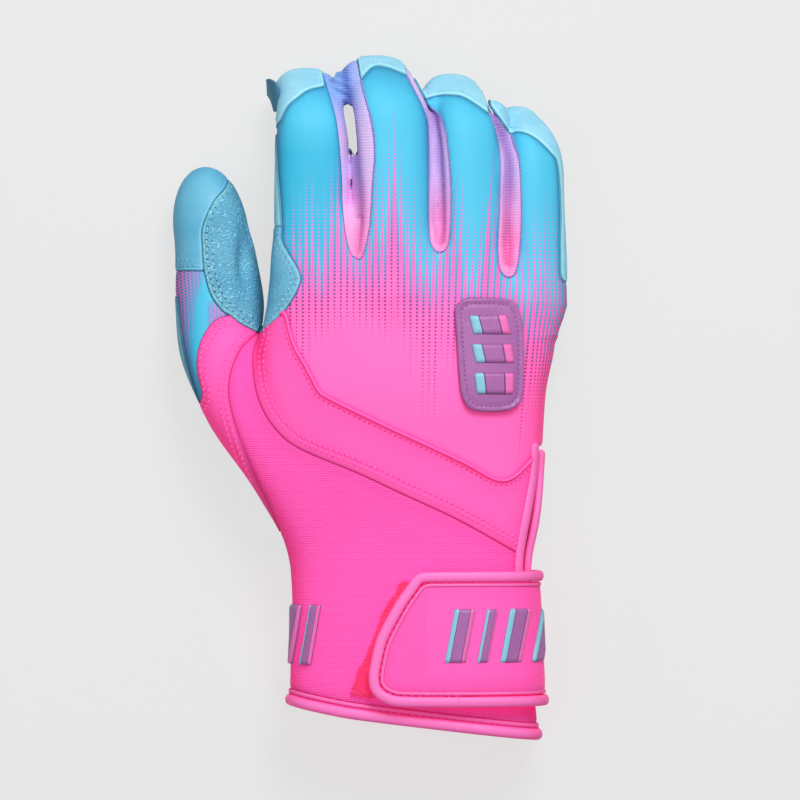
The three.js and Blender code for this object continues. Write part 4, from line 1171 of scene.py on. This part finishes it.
knit("hookTape", (0.7, 0.1, 0.35), (0.45, 0.05, 0.2), (0.3, 0.03, 0.15), 1.1, 0.4, 0.6, 0.0)
fourchetteKnit("fourchetteKnit")
mouldedRubber("rubber")
thread("pinkThread", (1, 0.2, 0.63), (0.95, 0.14, 0.55), glow=0.35)
thread("deepThread", (0.78, 0.07, 0.38), (0.62, 0.04, 0.28), glow=0.2)
thread("blueThread", (0.5, 0.85, 0.97), (0.36, 0.74, 0.9), sheen=0.3)
# painted shade: dark spots at the stitch ends stand for the shade in the needle holes
thread("stitchHoleShade", (0.02, 0.16, 0.27), (0.01, 0.13, 0.22), 0.9)
thread("pinkHoleShade", (0.8, 0.06, 0.38), (0.7, 0.04, 0.3), 0.9, glow=0.25)
thread("plumThread", (0.2, 0.05, 0.24), (0.14, 0.03, 0.18), 0.8)
thread("edgeThread", (0.75, 0.55, 0.95), (0.4, 0.25, 0.75))
print("glove: finishes mixed")

# The sewn panels

swell = 0.1 * ripple(at, 9, 14, 34)
dent = np.exp(-((at[:, 0] + 44.6) / 2.7) ** 2 - ((at[:, 1] - 48) / 9) ** 2) * (at[:, 2] > 15)
swell = swell - 2.9 * dent
leanOfPrint = 0.12 * (at[:, 1] - 30) * np.clip((at[:, 0] - 15) / 55, 0, 1.2)
roundSide = 0.8 * np.maximum(34 - at[:, 2], 0) * ramp(at[:, 0], 44, 58)
across = at[:, 0] - leanOfPrint + roundSide
lagOver = np.interp(across, [-30, -20, -17, -12, -4, 5, 8, 12, 20, 30, 36, 41, 48, 57, 72],
                    [17, 6, 14, -8, 11, -3, -18, -3, 20, 0, 22, -3, 27, 17, 14])
lagUnder = -8 + 0.55 * np.maximum(across - 8, 0)
upper = ramp(at[:, 1], 12, 62)
backWeave = np.stack([across, at[:, 1], lagUnder * (1 - upper) + lagOver * upper], 1)
thumbAcross = thumbPlace(at)[0]
stripe = thumbAcross - np.interp(at[:, 1], [-10, 5, 13, 24, 34, 43], [-14, -12.5, -11.2, -9.2, -7.5, -3.9])
dashes = 1.3 - 1.1 * ramp(thumbAcross, -5.5, -2.5) * ramp(at[:, 1], 37, 31)
thumbFade = np.minimum(np.interp(stripe, [-8, -5, -2, 0, 0.8], [0.12, 0.22, 0.42, 0.78, 1.3]), dashes)
thumbWeave = np.stack([thumbAcross, at[:, 1], fadeMiddle + fadeLength * thumbFade - at[:, 1]], 1)
inFold = ramp(46 - at[:, 2], 1, 9)
closed = np.minimum.reduce([np.abs(folds[0]) + 9 * (at[:, 1] > 64), np.abs(folds[1]), np.abs(folds[2])])
hollow = np.exp(-(closed / 1.1) ** 2) * inFold
# painted shade on the right of each fold between the fingers, carried to the fourchette knit as the third value of
# its weave
shaded = np.maximum.reduce([np.exp(-((gap - 0.9) / 1.7) ** 2) for gap in folds]) * inFold
gapWeave = np.stack([at[:, 0], at[:, 1], shaded], 1)

betweenFingers = dict(finish="fourchetteKnit", slot="fourchette_knit", weave=gapWeave, over=-0.25, dip=1.5)
panels = {
    "palmLeather": dict(finish="palmLeather", nodes=["palm_leather"], slot="palm_leather", over=0.3),
    "thumbPalmLeather": dict(finish="thumbLeather", nodes=["thumb_palm_leather"], slot="grained_leather",
                             over=0.45),
    "backPanel": dict(finish="backPrint", nodes=["back_panel"], slot="printed_fabric", weave=backWeave),
    "fourchetteOne": betweenFingers | {"nodes": ["fourchette_index_middle"]},
    "fourchetteTwo": betweenFingers | {"nodes": ["fourchette_middle_ring"]},
    "fourchetteThree": betweenFingers | {"nodes": ["fourchette_ring_little"]},
    "indexWrap": dict(finish="wrapLeather", nodes=["index_side_wrap"], slot="grained_leather", over=0.45),
    "wristBand": dict(finish="bandFabric", nodes=["wrist_band"], slot="smooth_fabric", over=0.35),
    "thumbCap": dict(finish="capLeather", nodes=["thumb_cap"], slot="cap_leather", over=0.35),
    "thumbBack": dict(finish="thumbPrint", nodes=["thumb_back_panel"], slot="printed_fabric",
                      weave=thumbWeave),
    "thumbSaddle": dict(finish="saddleFabric", nodes=["thumb_saddle"], slot="smooth_fabric", over=0.3),
    "cuffBack": dict(finish="cuffKnit", nodes=["cuff_back_knit"], slot="knit_fabric"),
    "cuffPalm": dict(finish="cuffKnit", nodes=["cuff_palm_knit"], slot="knit_fabric"),
}
seam = {"half": 0.1, "groove": 0.28, "reach": 0.85}


def makePanel(name, finish, nodes, slot, over=0.0, weave=at, dip=0.0):
    field = panelFields[name]
    mesh = dict(skin, data={"swell": swell, "edge": field, "normal": skin["normals"], "weave": weave,
                            "hollow": hollow})
    mesh = clip(mesh, field - seam["half"])
    data = mesh["data"]
    depth = (over + data["swell"] - seam["groove"] * np.exp(-(data["edge"] / seam["reach"]) ** 2)
             - dip * data["hollow"])
    mesh["points"] = mesh["points"] + data["normal"] * depth[:, None]
    return pieceObject(name, thickened(mesh, glove["wall"]), finishes[finish], nodes=nodes, slot=slot)


for name, settings in panels.items():
    makePanel(name, **settings)
print("glove: panels cut")

# Lines on the skin for bindings, piping and stitches


def lineOn(source, values, keep=None):
    # the longest run of the line where the values are zero, as far as the other values let it go
    runs = []
    data = {"keep": np.ones(len(source["points"])) if keep is None else keep}
    for spots, normals, kept in contour(dict(source, data=data), values):
        parts = np.split(np.arange(len(spots)), np.flatnonzero(np.diff(kept.astype(int))) + 1)
        runs += [(spots[run], normals[run]) for run in parts if kept[run[0]] and len(run) > 6]
    return evenly(max(runs, key=lambda run: len(run[0])), 0.9, 4)


def lifted(line, lift):
    return line[0] + line[1] * lift, line[1]


def swept(line, profile, edges=None):
    mesh = sweep(line, profile)
    around = len(profile)
    count = len(mesh["points"]) // around
    run = runOf(line[0])[:count]
    ring = np.tile(np.arange(around) * (6.0 / around), count)
    mesh["data"] = {"weave": np.stack([ring, np.repeat(run, around), 0 * ring], 1),
                    "edge": np.tile(np.asarray([9.0] * around if edges is None else edges), count)}
    return mesh


def addSwept(name, line, profile, finish, nodes=(), slot=None, body="glove"):
    return pieceObject(name, swept(line, profile), finishes[finish], body=body, nodes=nodes, slot=slot)


def addTape(name, source, inside, tape, below, **how):
    # a binding folded round an edge: a round roll, a stitched groove, and a flat edge past it
    roll = swept(lifted(lineOn(source, inside - tape["roll"] / 2), 0.1),
                 oval(tape["roll"] / 2, tape["above"], below, 14))
    half, high = tape["flat"] / 2, tape["high"]
    middle = tape["roll"] + tape["groove"] + half
    profile = [(-half, -below), (-half, high * 0.4), (0.2 - half, high), (half - 0.2, high), (half, high * 0.4),
               (half, -below)]
    flat = swept(lineOn(source, inside - middle), profile, edges=[0, 0.1, 2, 2, 0.1, 0])
    mesh = joined([roll, flat])
    if how.get("body", "glove"):
        mesh["points"][:, 2] = np.maximum(mesh["points"][:, 2], glove["clear"])
    return pieceObject(name, mesh, finishes["bindingTape"], slot="binding", **how)


def addStitches(name, lines, finish, pitch, lift, holeShade=None, body="glove", **shape):
    rows = [stitches(lifted(line, lift), pitch, **shape) for line in lines]
    pieceObject(name, joined(rows), finishes[finish], body=body)
    if holeShade:
        # dark spots at the ends of the stitches: painted shade in the needle holes
        spots = [stitches(lifted((line[0][1:-1], line[1][1:-1]), lift + 0.02), pitch, length=0.55, radius=0.3,
                          lift=0.02, phase=0.5) for line in lines]
        pieceObject(name + "HoleShades", joined(spots), finishes[holeShade], body=body)


# Band: piping along its upper edge, one row of stitches below it and two over its lower fold

overBack = least(rise - 0.4, slitGap - 2)
pipingLine = lineOn(skin, zones["band"], least(overBack, 2.2 - np.abs(zones["aboveBand"])))
addSwept("bandPiping", lifted(pipingLine, 0.6), oval(0.62, 0.75, 0.6), "bandFabric", nodes=["band_piping"],
         slot="binding")
upperBand = least(overBack, zones["aboveBand"] + 3.4, zones["band"])
lowerBand = least(overBack, zones["cuff"] + 5.6, zones["band"], -zones["grained"] - 1.5)
addStitches("bandUpperStitches", [lineOn(skin, zones["aboveBand"] + 1.7, upperBand)], "deepThread",
            pitch=2.0, length=1.6, radius=0.24, lift=0.45)
addStitches("bandLowerStitches", [lineOn(skin, zones["cuff"] + gap, lowerBand) for gap in (2.6, 4.2)],
            "pinkThread", holeShade="pinkHoleShade", pitch=2.1, length=1.9, radius=0.33, lift=0.5, slant=0.35)

# Slit: two bound edges with a dark gap between them and knit behind it, its dark colour painted shade

slit = {"width": 3.8, "half": 0.15, "above": 0.95, "below": 1.5, "top": -16, "foot": -102, "drop": 2.4}
slitMiddle = slit["half"] + slit["width"] / 2
besideSlit = least(at[:, 2] - 19.5, slit["top"] - at[:, 1], at[:, 1] - slit["foot"], 5 - np.abs(slitAcross))
slitLine = lineOn(skin, slitAcross, besideSlit)[0]
slitLine = slitLine[np.argsort(slitLine[:, 1])]
slitHigh = np.interp(at[:, 1], slitLine[:, 1], slitLine[:, 2])
leftLine = lineOn(skin, slitAcross + slitMiddle, besideSlit)
rightLine = lineOn(skin, slitHigh - slit["drop"] - at[:, 2], least(at[:, 0] - 40, besideSlit, -18.5 - at[:, 1]))
addSwept("slitBindingLeft", lifted(leftLine, 0.15), oval(slit["width"] / 2, slit["above"], slit["below"]),
         "bindingTape", nodes=["slit_binding_left"], slot="binding")
addSwept("slitBindingRight", rightLine, oval(1.7, 1.3, slit["below"]), "bindingTape",
         nodes=["slit_binding_right"], slot="binding")
slitRow = lineOn(skin, slitAcross + slitMiddle + 1.75, least(besideSlit, -20 - at[:, 1]))
addStitches("slitStitches", [slitRow], "deepThread", pitch=1.75, length=1.0, radius=0.18, lift=0.45)
gussetMesh = clip(dict(skin, data={"normal": skin["normals"], "weave": at, "edge": 0 * swell + 9}),
                  least(6 - np.abs(slitAcross), -zones["hem"], at[:, 2] - 9))
gussetMesh["points"] = gussetMesh["points"] - gussetMesh["data"]["normal"] * 1.8
pieceObject("slitGusset", thickened(gussetMesh, 1.0, 0.1), finishes["slitShade"], nodes=["slit_gusset"],
            slot="knit_fabric")

# Hem: a tape folded round the wrist opening, a roll below its stitches and a flat edge above them

hem = {"roll": 4.0, "above": 1.6, "groove": 0.45, "flat": 1.4, "high": 0.5}
addTape("hemBinding", skin, zones["hemEnd"], hem, 1.7, nodes=["hem_binding"])
addStitches("hemStitches", [lineOn(skin, zones["hemEnd"] - hem["roll"] - 0.25)], "deepThread", pitch=2.6,
            length=1.7, radius=0.25, lift=0.2)
print("glove: bindings swept")

# Strap: a padded tab that lies over the cuff and is sewn down past its hinge

strap = {"thickness": 2.5, "clearance": 1.2, "lift": 1.7, "low": 5, "turn": 0.0629, "bottom": -0.452,
         "top": -0.255, "roll": 3.8, "above": 1.3, "groove": 0.45, "flat": 1.2, "high": 0.5, "puff": 0.6}
tabEdge = smoothed(place([(0.53, -0.255), (0.135, -0.255), (0.112, -0.262), (0.095, -0.276), (0.068, -0.298),
                          (0.024, -0.344), (0.01, -0.368), (-0.002, -0.404), (0.0, -0.424),
                          (0.012, -0.436), (0.04, -0.446), (0.11, -0.452), (0.53, -0.452)]), 0.8)


def strapGap(p):
    gap = np.full(len(p), 40.0)
    rows = np.flatnonzero((p[:, 1] < -50) & (p[:, 1] > -122) & (p[:, 0] > -30))
    gap[rows] = handGap(p[rows], strap["lift"]) - strap["clearance"] - strap["thickness"]
    return gap


shell = wrapMesh(strapGap, (-24, -121, 0), (72, -51, 54))
shellPlan, shellHigh = shell["points"][:, :2], shell["points"][:, 2]
endwise = np.minimum(shellPlan[:, 1] - strap["bottom"] * glove["length"],
                     strap["top"] * glove["length"] - shellPlan[:, 1])
overSide = (shellPlan[:, 0] > 45) & (shellHigh < 30)
strapInside = np.where(overSide, endwise, insideGap(shellPlan, tabEdge))
aboveRoot = np.where(shellPlan[:, 0] > 20, shellHigh - strap["low"], 9)
tabInside = least(strapInside, aboveRoot)
shell["data"] = {"weave": np.stack([shellPlan[:, 0] - shellHigh, shellPlan[:, 1], shellHigh], 1),
                 "inside": tabInside, "normal": shell["normals"]}
turnStart, turnEnd = (strap["turn"], 0, 0.017), (strap["turn"], 0, 0.025)

tape = strap["roll"] + strap["groove"] + strap["flat"] - 0.2
strapMesh = clip(shell, tabInside - tape)
strapDepth = strapMesh["data"]["inside"] - tape
puff = strap["puff"] * (1 - np.exp(-strapDepth / 2.5))
strapMesh["points"] = strapMesh["points"] + strapMesh["data"]["normal"] * puff[:, None]
strapMesh["data"] = {"weave": strapMesh["data"]["weave"], "edge": strapDepth + 0.1}
strapPiece = pieceObject("strapTab", thickened(strapMesh, strap["thickness"], 0.2), finishes["strapFabric"],
                         body=None, nodes=["strap_tab", "strap_root"], slot="strap_fabric")
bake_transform(strapPiece)
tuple(turnStart)
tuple(turnEnd)
tabTape = addTape("tabBinding", shell, tabInside, strap, strap["thickness"], body=None, nodes=["tab_binding"])
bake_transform(tabTape)
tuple(turnStart)
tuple(turnEnd)
tabRow = lineOn(shell, tabInside - strap["roll"] - 0.25, shellHigh - 26)
addStitches("tabStitches", [tabRow], "deepThread", body="tab", pitch=2.6, length=1.8, radius=0.25, lift=0.2)

# Patches under the strap: fuzzy loops on the wrist and hooks below the tab

backHigh = 30  # the back of the wrist and hand lies over this height


def layerMesh(source, inside, keep, over, thickness, weave):
    mesh = clip(dict(source, data={"normal": source["normals"], "edge": inside, "weave": weave}),
                least(inside, keep))
    mesh["points"] = mesh["points"] + mesh["data"]["normal"] * over
    return thickened(mesh, thickness, 0.2, floor=False)


loopInside = insideGap(plan, place([(0.083, -0.272), (0.0396, -0.312), (0.008, -0.36), (-0.025, -0.403),
                                    (-0.046, -0.433), (0.006, -0.438), (0.28, -0.441), (0.28, -0.272)]))
pieceObject("loopPatch", layerMesh(skin, loopInside, at[:, 2] - backHigh, 1.2, 1.0, at), finishes["loopPile"],
            nodes=["loop_patch"], slot="loop_fabric")
hookInside = insideGap(shellPlan, place([(0.13, -0.285), (0.06, -0.37), (0.045, -0.43), (0.26, -0.43),
                                         (0.26, -0.285)]))
pieceObject("hookPatch", layerMesh(shell, hookInside, shellHigh - backHigh, -strap["thickness"] - 0.3, 1.0,
                                   shell["points"]), finishes["hookTape"], body="tab", nodes=["hook_patch"],
            slot="hook_tape")
fuzz = {"count": 1500, "length": 1.2, "radius": 0.14, "lift": 1.4}
fuzzy = np.flatnonzero((loopInside > -0.3) & (at[:, 2] > backHigh) & (skin["normals"][:, 2] > 0.3)
                       & (insideGap(plan, tabEdge) < 4))
chosen = rng.choice(fuzzy, fuzz["count"])
around = rng.uniform(0, 2 * np.pi, fuzz["count"])
ways = np.stack([np.cos(around), np.sin(around), 0 * around], 1)
spots = at[chosen] + rng.normal(0, 0.25, (fuzz["count"], 3)) * (1, 1, 0)
pieceObject("loopFuzz", threads(spots, ways, skin["normals"][chosen], fuzz["length"], fuzz["radius"],
                                fuzz["lift"]), finishes["loopPile"])

# Badge: a plain moulded plate with a raised rim, stitched down, and three plain slanted bars on it

badge = {"thickness": 1.8, "rim": 1.6, "rimHeight": 0.8, "over": 0.3}
badgeInside = insideGap(plan, smoothed(place([
    (0.215, 0.126), (0.232, 0.139), (0.262, 0.144), (0.352, 0.141), (0.378, 0.127), (0.39, 0.085),
    (0.387, 0.01), (0.37, -0.014), (0.33, -0.022), (0.262, -0.02), (0.236, -0.004), (0.226, 0.03),
    (0.215, 0.126)]), 0.6)[:-1])


def moulded(source, inside, keep, heights, base, side=None):
    # a skin that rises from its edge to the heights given for the distance in from it
    side = np.zeros(len(inside)) if side is None else side
    mesh = clip(dict(source, data={"normal": source["normals"], "inside": inside, "side": side}),
                least(inside, keep))
    data = mesh["data"]
    height = np.interp(data["inside"], *zip(*heights))
    mesh["points"] = mesh["points"] + data["normal"] * (base + height)[:, None]
    mesh["data"] = {"weave": np.stack([data["side"], data["inside"], data["inside"] * 2], 1)}
    return thickened(mesh, 0.6, 0.05, floor=False)


badgeTop = badge["thickness"]
rimTop = badgeTop + badge["rimHeight"]
badgeMesh = moulded(skin, badgeInside, at[:, 2] - backHigh,
                    [(0, badgeTop - 0.9), (0.35, badgeTop + 0.4), (0.8, rimTop), (1.2, rimTop - 0.1),
                     (1.7, badgeTop), (2.8, badgeTop), (3.2, badgeTop + 0.25), (30, badgeTop + 0.25)],
                    badge["over"])
pieceObject("badgePlate", badgeMesh, finishes["rubber"], nodes=["badge_plate"], slot="moulded_rubber")
addStitches("badgeStitches", [lineOn(skin, badgeInside - 2.2, at[:, 2] - backHigh)], "plumThread", pitch=1.7,
            length=0.9, radius=0.17, lift=badge["over"] + badgeTop)
badgeBars = [[(0.25, 0.118), (0.345, 0.118), (0.357, 0.09), (0.262, 0.09)],
             [(0.256, 0.076), (0.358, 0.076), (0.364, 0.048), (0.268, 0.048)],
             [(0.262, 0.034), (0.362, 0.034), (0.36, 0.004), (0.27, 0.004)]]
barRise = [(0, 0), (0.35, 0.8), (0.6, 1.0), (30, 1.0)]


def sideOf(points, corners):
    # -1 at the left end of a slanted bar and 1 at its right end
    leftFoot, rightFoot, rightTop, leftTop = corners
    share = np.clip((points[:, 1] - leftFoot[1]) / (leftTop[1] - leftFoot[1]), 0, 1)
    left = leftFoot[0] + (leftTop[0] - leftFoot[0]) * share
    right = rightFoot[0] + (rightTop[0] - rightFoot[0]) * share
    return (points[:, 0] - (left + right) / 2) / ((right - left) / 2)


for number, corners in enumerate(badgeBars, 1):
    corners = place(corners)
    mesh = moulded(skin, insideGap(plan, corners), at[:, 2] - backHigh, barRise, badgeTop + 0.6,
                   sideOf(plan, corners))
    pieceObject(f"badgeBar{number}", mesh, finishes["rubber"], nodes=[f"badge_bar_{number}"],
                slot="moulded_rubber")

# Raised bars on the tab and at the thumb side of the cuff

barRows = {
    "tab": {"bottom": -0.388, "top": -0.309, "starts": (0.19, 0.272, 0.33, 0.41),
            "widths": (0.055, 0.03, 0.055, 0.03), "over": strap["puff"] - 0.1},
    "cuff": {"bottom": -0.392, "top": -0.304, "starts": (-0.226, -0.178), "widths": (0.03, 0.03),
             "over": 0.2},
}
lean = 3.6 / glove["width"]
for row, bars in barRows.items():
    source, sourcePlan = (shell, shellPlan) if row == "tab" else (skin, plan)
    for number, (start, width) in enumerate(zip(bars["starts"], bars["widths"]), 1):
        corners = place([(start, bars["bottom"]), (start + width, bars["bottom"]),
                         (start + width + lean, bars["top"]), (start + lean, bars["top"])])
        mesh = moulded(source, insideGap(sourcePlan, corners), source["points"][:, 2] - 22.6, barRise,
                       bars["over"], sideOf(sourcePlan, corners))
        pieceObject(f"{row}Bar{number}", mesh, finishes["rubber"], body="tab" if row == "tab" else "glove",
                    nodes=[f"{row}_bar_{number}"], slot="moulded_rubber")
print("glove: strap, badge and bars made")

# Stitches on the leather and over the thumb

overSkin = rise - 0.3
facing = skin["normals"][:, 2] - 0.3
capRows = [lineOn(skin, zones[name] - 1.5, least(rise + 3, 1 - np.abs(zones[name] - 1.5)))
           for name in capNames]
addStitches("capStitches", capRows, "blueThread", pitch=1.6, length=1.0, radius=0.18, lift=0.4)
leatherLine, wrapLine = lineGap(plan, seams["thumb"]), lineGap(plan, seams["wrap"])
thumbRows = [lineOn(skin, zones["grained"] - gap, least(facing, gap + 0.4 - np.abs(leatherLine)))
             for gap in (1.7, 3.6)]
addStitches("thumbStitches", thumbRows, "blueThread", holeShade="stitchHoleShade", pitch=2.4, length=1.7, radius=0.2,
            lift=0.62)
hemRows = [lineOn(skin, zones["thumbBack"] + gap, least(facing, zones["thumbCap"], -zones["grained"] - 0.5))
           for gap in (1.6, 3.6)]
addStitches("thumbCapStitches", hemRows, "blueThread", holeShade="stitchHoleShade", pitch=2.0, length=1.3, radius=0.16,
            lift=0.5)
wrapRows = [lineOn(skin, zones["wrap"] - gap, least(facing, gap + 0.4 - np.abs(wrapLine))) for gap in (1.3, 2.7)]
addStitches("wrapStitches", wrapRows, "blueThread", holeShade="stitchHoleShade", pitch=2.1, length=1.6, radius=0.23,
            lift=0.62)
clear = least(facing, -zones["grained"] - 1)
saddleRows = [lineOn(skin, zones["saddle"] - gap, least(clear, 1.5 - np.abs(zones["cuff"] + gap)))
              for gap in (1.4, 3.2)]
frontRows = [lineOn(skin, zones["saddle"] - gap, least(clear, 1.5 - np.abs(zones["thumbBack"] + gap)))
             for gap in (1.4, 3.2)]
addStitches("saddleStitches", saddleRows + frontRows, "pinkThread", holeShade="pinkHoleShade", pitch=2.1, length=1.9,
            radius=0.33, lift=0.48, slant=0.3)
overcast = [lineOn(skin, gaps + 0.35, least(overSkin, 0.5 - np.abs(zones[name] + 0.35), -caps))
            for name in gapNames]
addStitches("gapStitches", overcast, "edgeThread", pitch=0.95, length=0.8, radius=0.24, lift=0.12, slant=1.0)
print("glove: stitched")

# The leather's spare corner, curled out beside the index fingertip

rim = np.array([(-35.4, 112.4, 20.5), (-33.6, 111.6, 21.5), (-32.7, 109.2, 22), (-32.6, 106, 21.5),
                (-33, 101.5, 20)])
curl = np.array([(-36.6, 112.2, 15), (-36.8, 110, 14), (-36.7, 107.6, 13.5), (-35.6, 105.8, 14.5),
                 (-34, 101.5, 17)])
steps = np.linspace(0, 1, 6)
bulge = np.array([-0.9, 0.5, 0.6])
corner = np.concatenate([rim + (curl - rim) * t + bulge * math.sin(t * math.pi) for t in steps])
cells = [(r * 5 + c, r * 5 + c + 1, r * 5 + c + 6, r * 5 + c + 5) for r in range(5) for c in range(4)]
cornerFaces = np.array([tri for a, b, c, d in cells for tri in ((a, c, b), (a, d, c))])
cornerMesh = thickened({"points": corner, "faces": cornerFaces, "data": {
    "edge": np.repeat(2 - steps * 2, 5), "weave": corner}}, 1.0, 0.2)
pieceObject("indexTipCorner", cornerMesh, finishes["shadedCornerLeather"], slot="palm_leather")

# Floor, lights and camera

studio = {"floor": 0.84, "shadow": 0.16, "world": 0.26, "key": 10.0, "fill": 2.0}
floorMesh = bpy.data.meshes.new("floor")
floorMesh.from_pydata([(x, y, -0.0002) for x, y in ((-3, -3), (3, -3), (3, 3), (-3, 3))], [], [(0, 1, 2, 3)])
floor = bpy.data.objects.new("floor", floorMesh)
bpy.context.scene.collection.objects.link(floor)
paper = bpy.data.materials.new("floorPaper")
paper.use_nodes = True
paperTree = paper.node_tree
paperShader = paperTree.nodes["Principled BSDF"]
paperShader.inputs["Roughness"].default_value = 1
paperShader.inputs["Specular IOR Level"].default_value = 0
lightPath = add(paperTree, "LightPath")
seen = lightPath.outputs["Is Camera Ray"]
tone = blendOf(paperTree, seen, (0.6,) * 3, (studio["shadow"],) * 3)
paperTree.links.new(tone, paperShader.inputs["Base Color"])
glow = studio["floor"] - studio["shadow"]
paperShader.inputs["Emission Color"].default_value = (1, 1, 1, 1)
paperTree.links.new(times(paperTree, seen, glow), paperShader.inputs["Emission Strength"])
floorMesh.materials.append(paper)


def addLight(name, where, size, power, aim=(0, 0, 0.02)):
    light = bpy.data.lights.new(name, "AREA")
    light.size = size
    light.energy = power
    lamp = bpy.data.objects.new(name, light)
    lamp.location = where
    bpy.context.scene.collection.objects.link(lamp)
    lamp.rotation_euler = (mathutils.Vector(aim) - lamp.location).to_track_quat("-Z", "Y").to_euler()


addLight("keyLight", (0.25, 0.75, 0.95), 0.5, studio["key"])
addLight("fillLight", (-0.5, -0.2, 0.9), 0.9, studio["fill"])
world = bpy.data.worlds.new("studio")
bpy.context.scene.world = world
world.use_nodes = True
world.node_tree.nodes["Background"].inputs[0].default_value = (1, 1, 1, 1)
world.node_tree.nodes["Background"].inputs[1].default_value = studio["world"]

lens = bpy.data.cameras.new("camera")
lens.lens = 380.3
lens.sensor_width = 36
camera = bpy.data.objects.new("camera", lens)
bpy.context.scene.collection.objects.link(camera)
camera.location = (0.01083, -0.00124, 3.03)
bpy.context.scene.camera = camera
bpy.context.scene.view_settings.view_transform = "Standard"
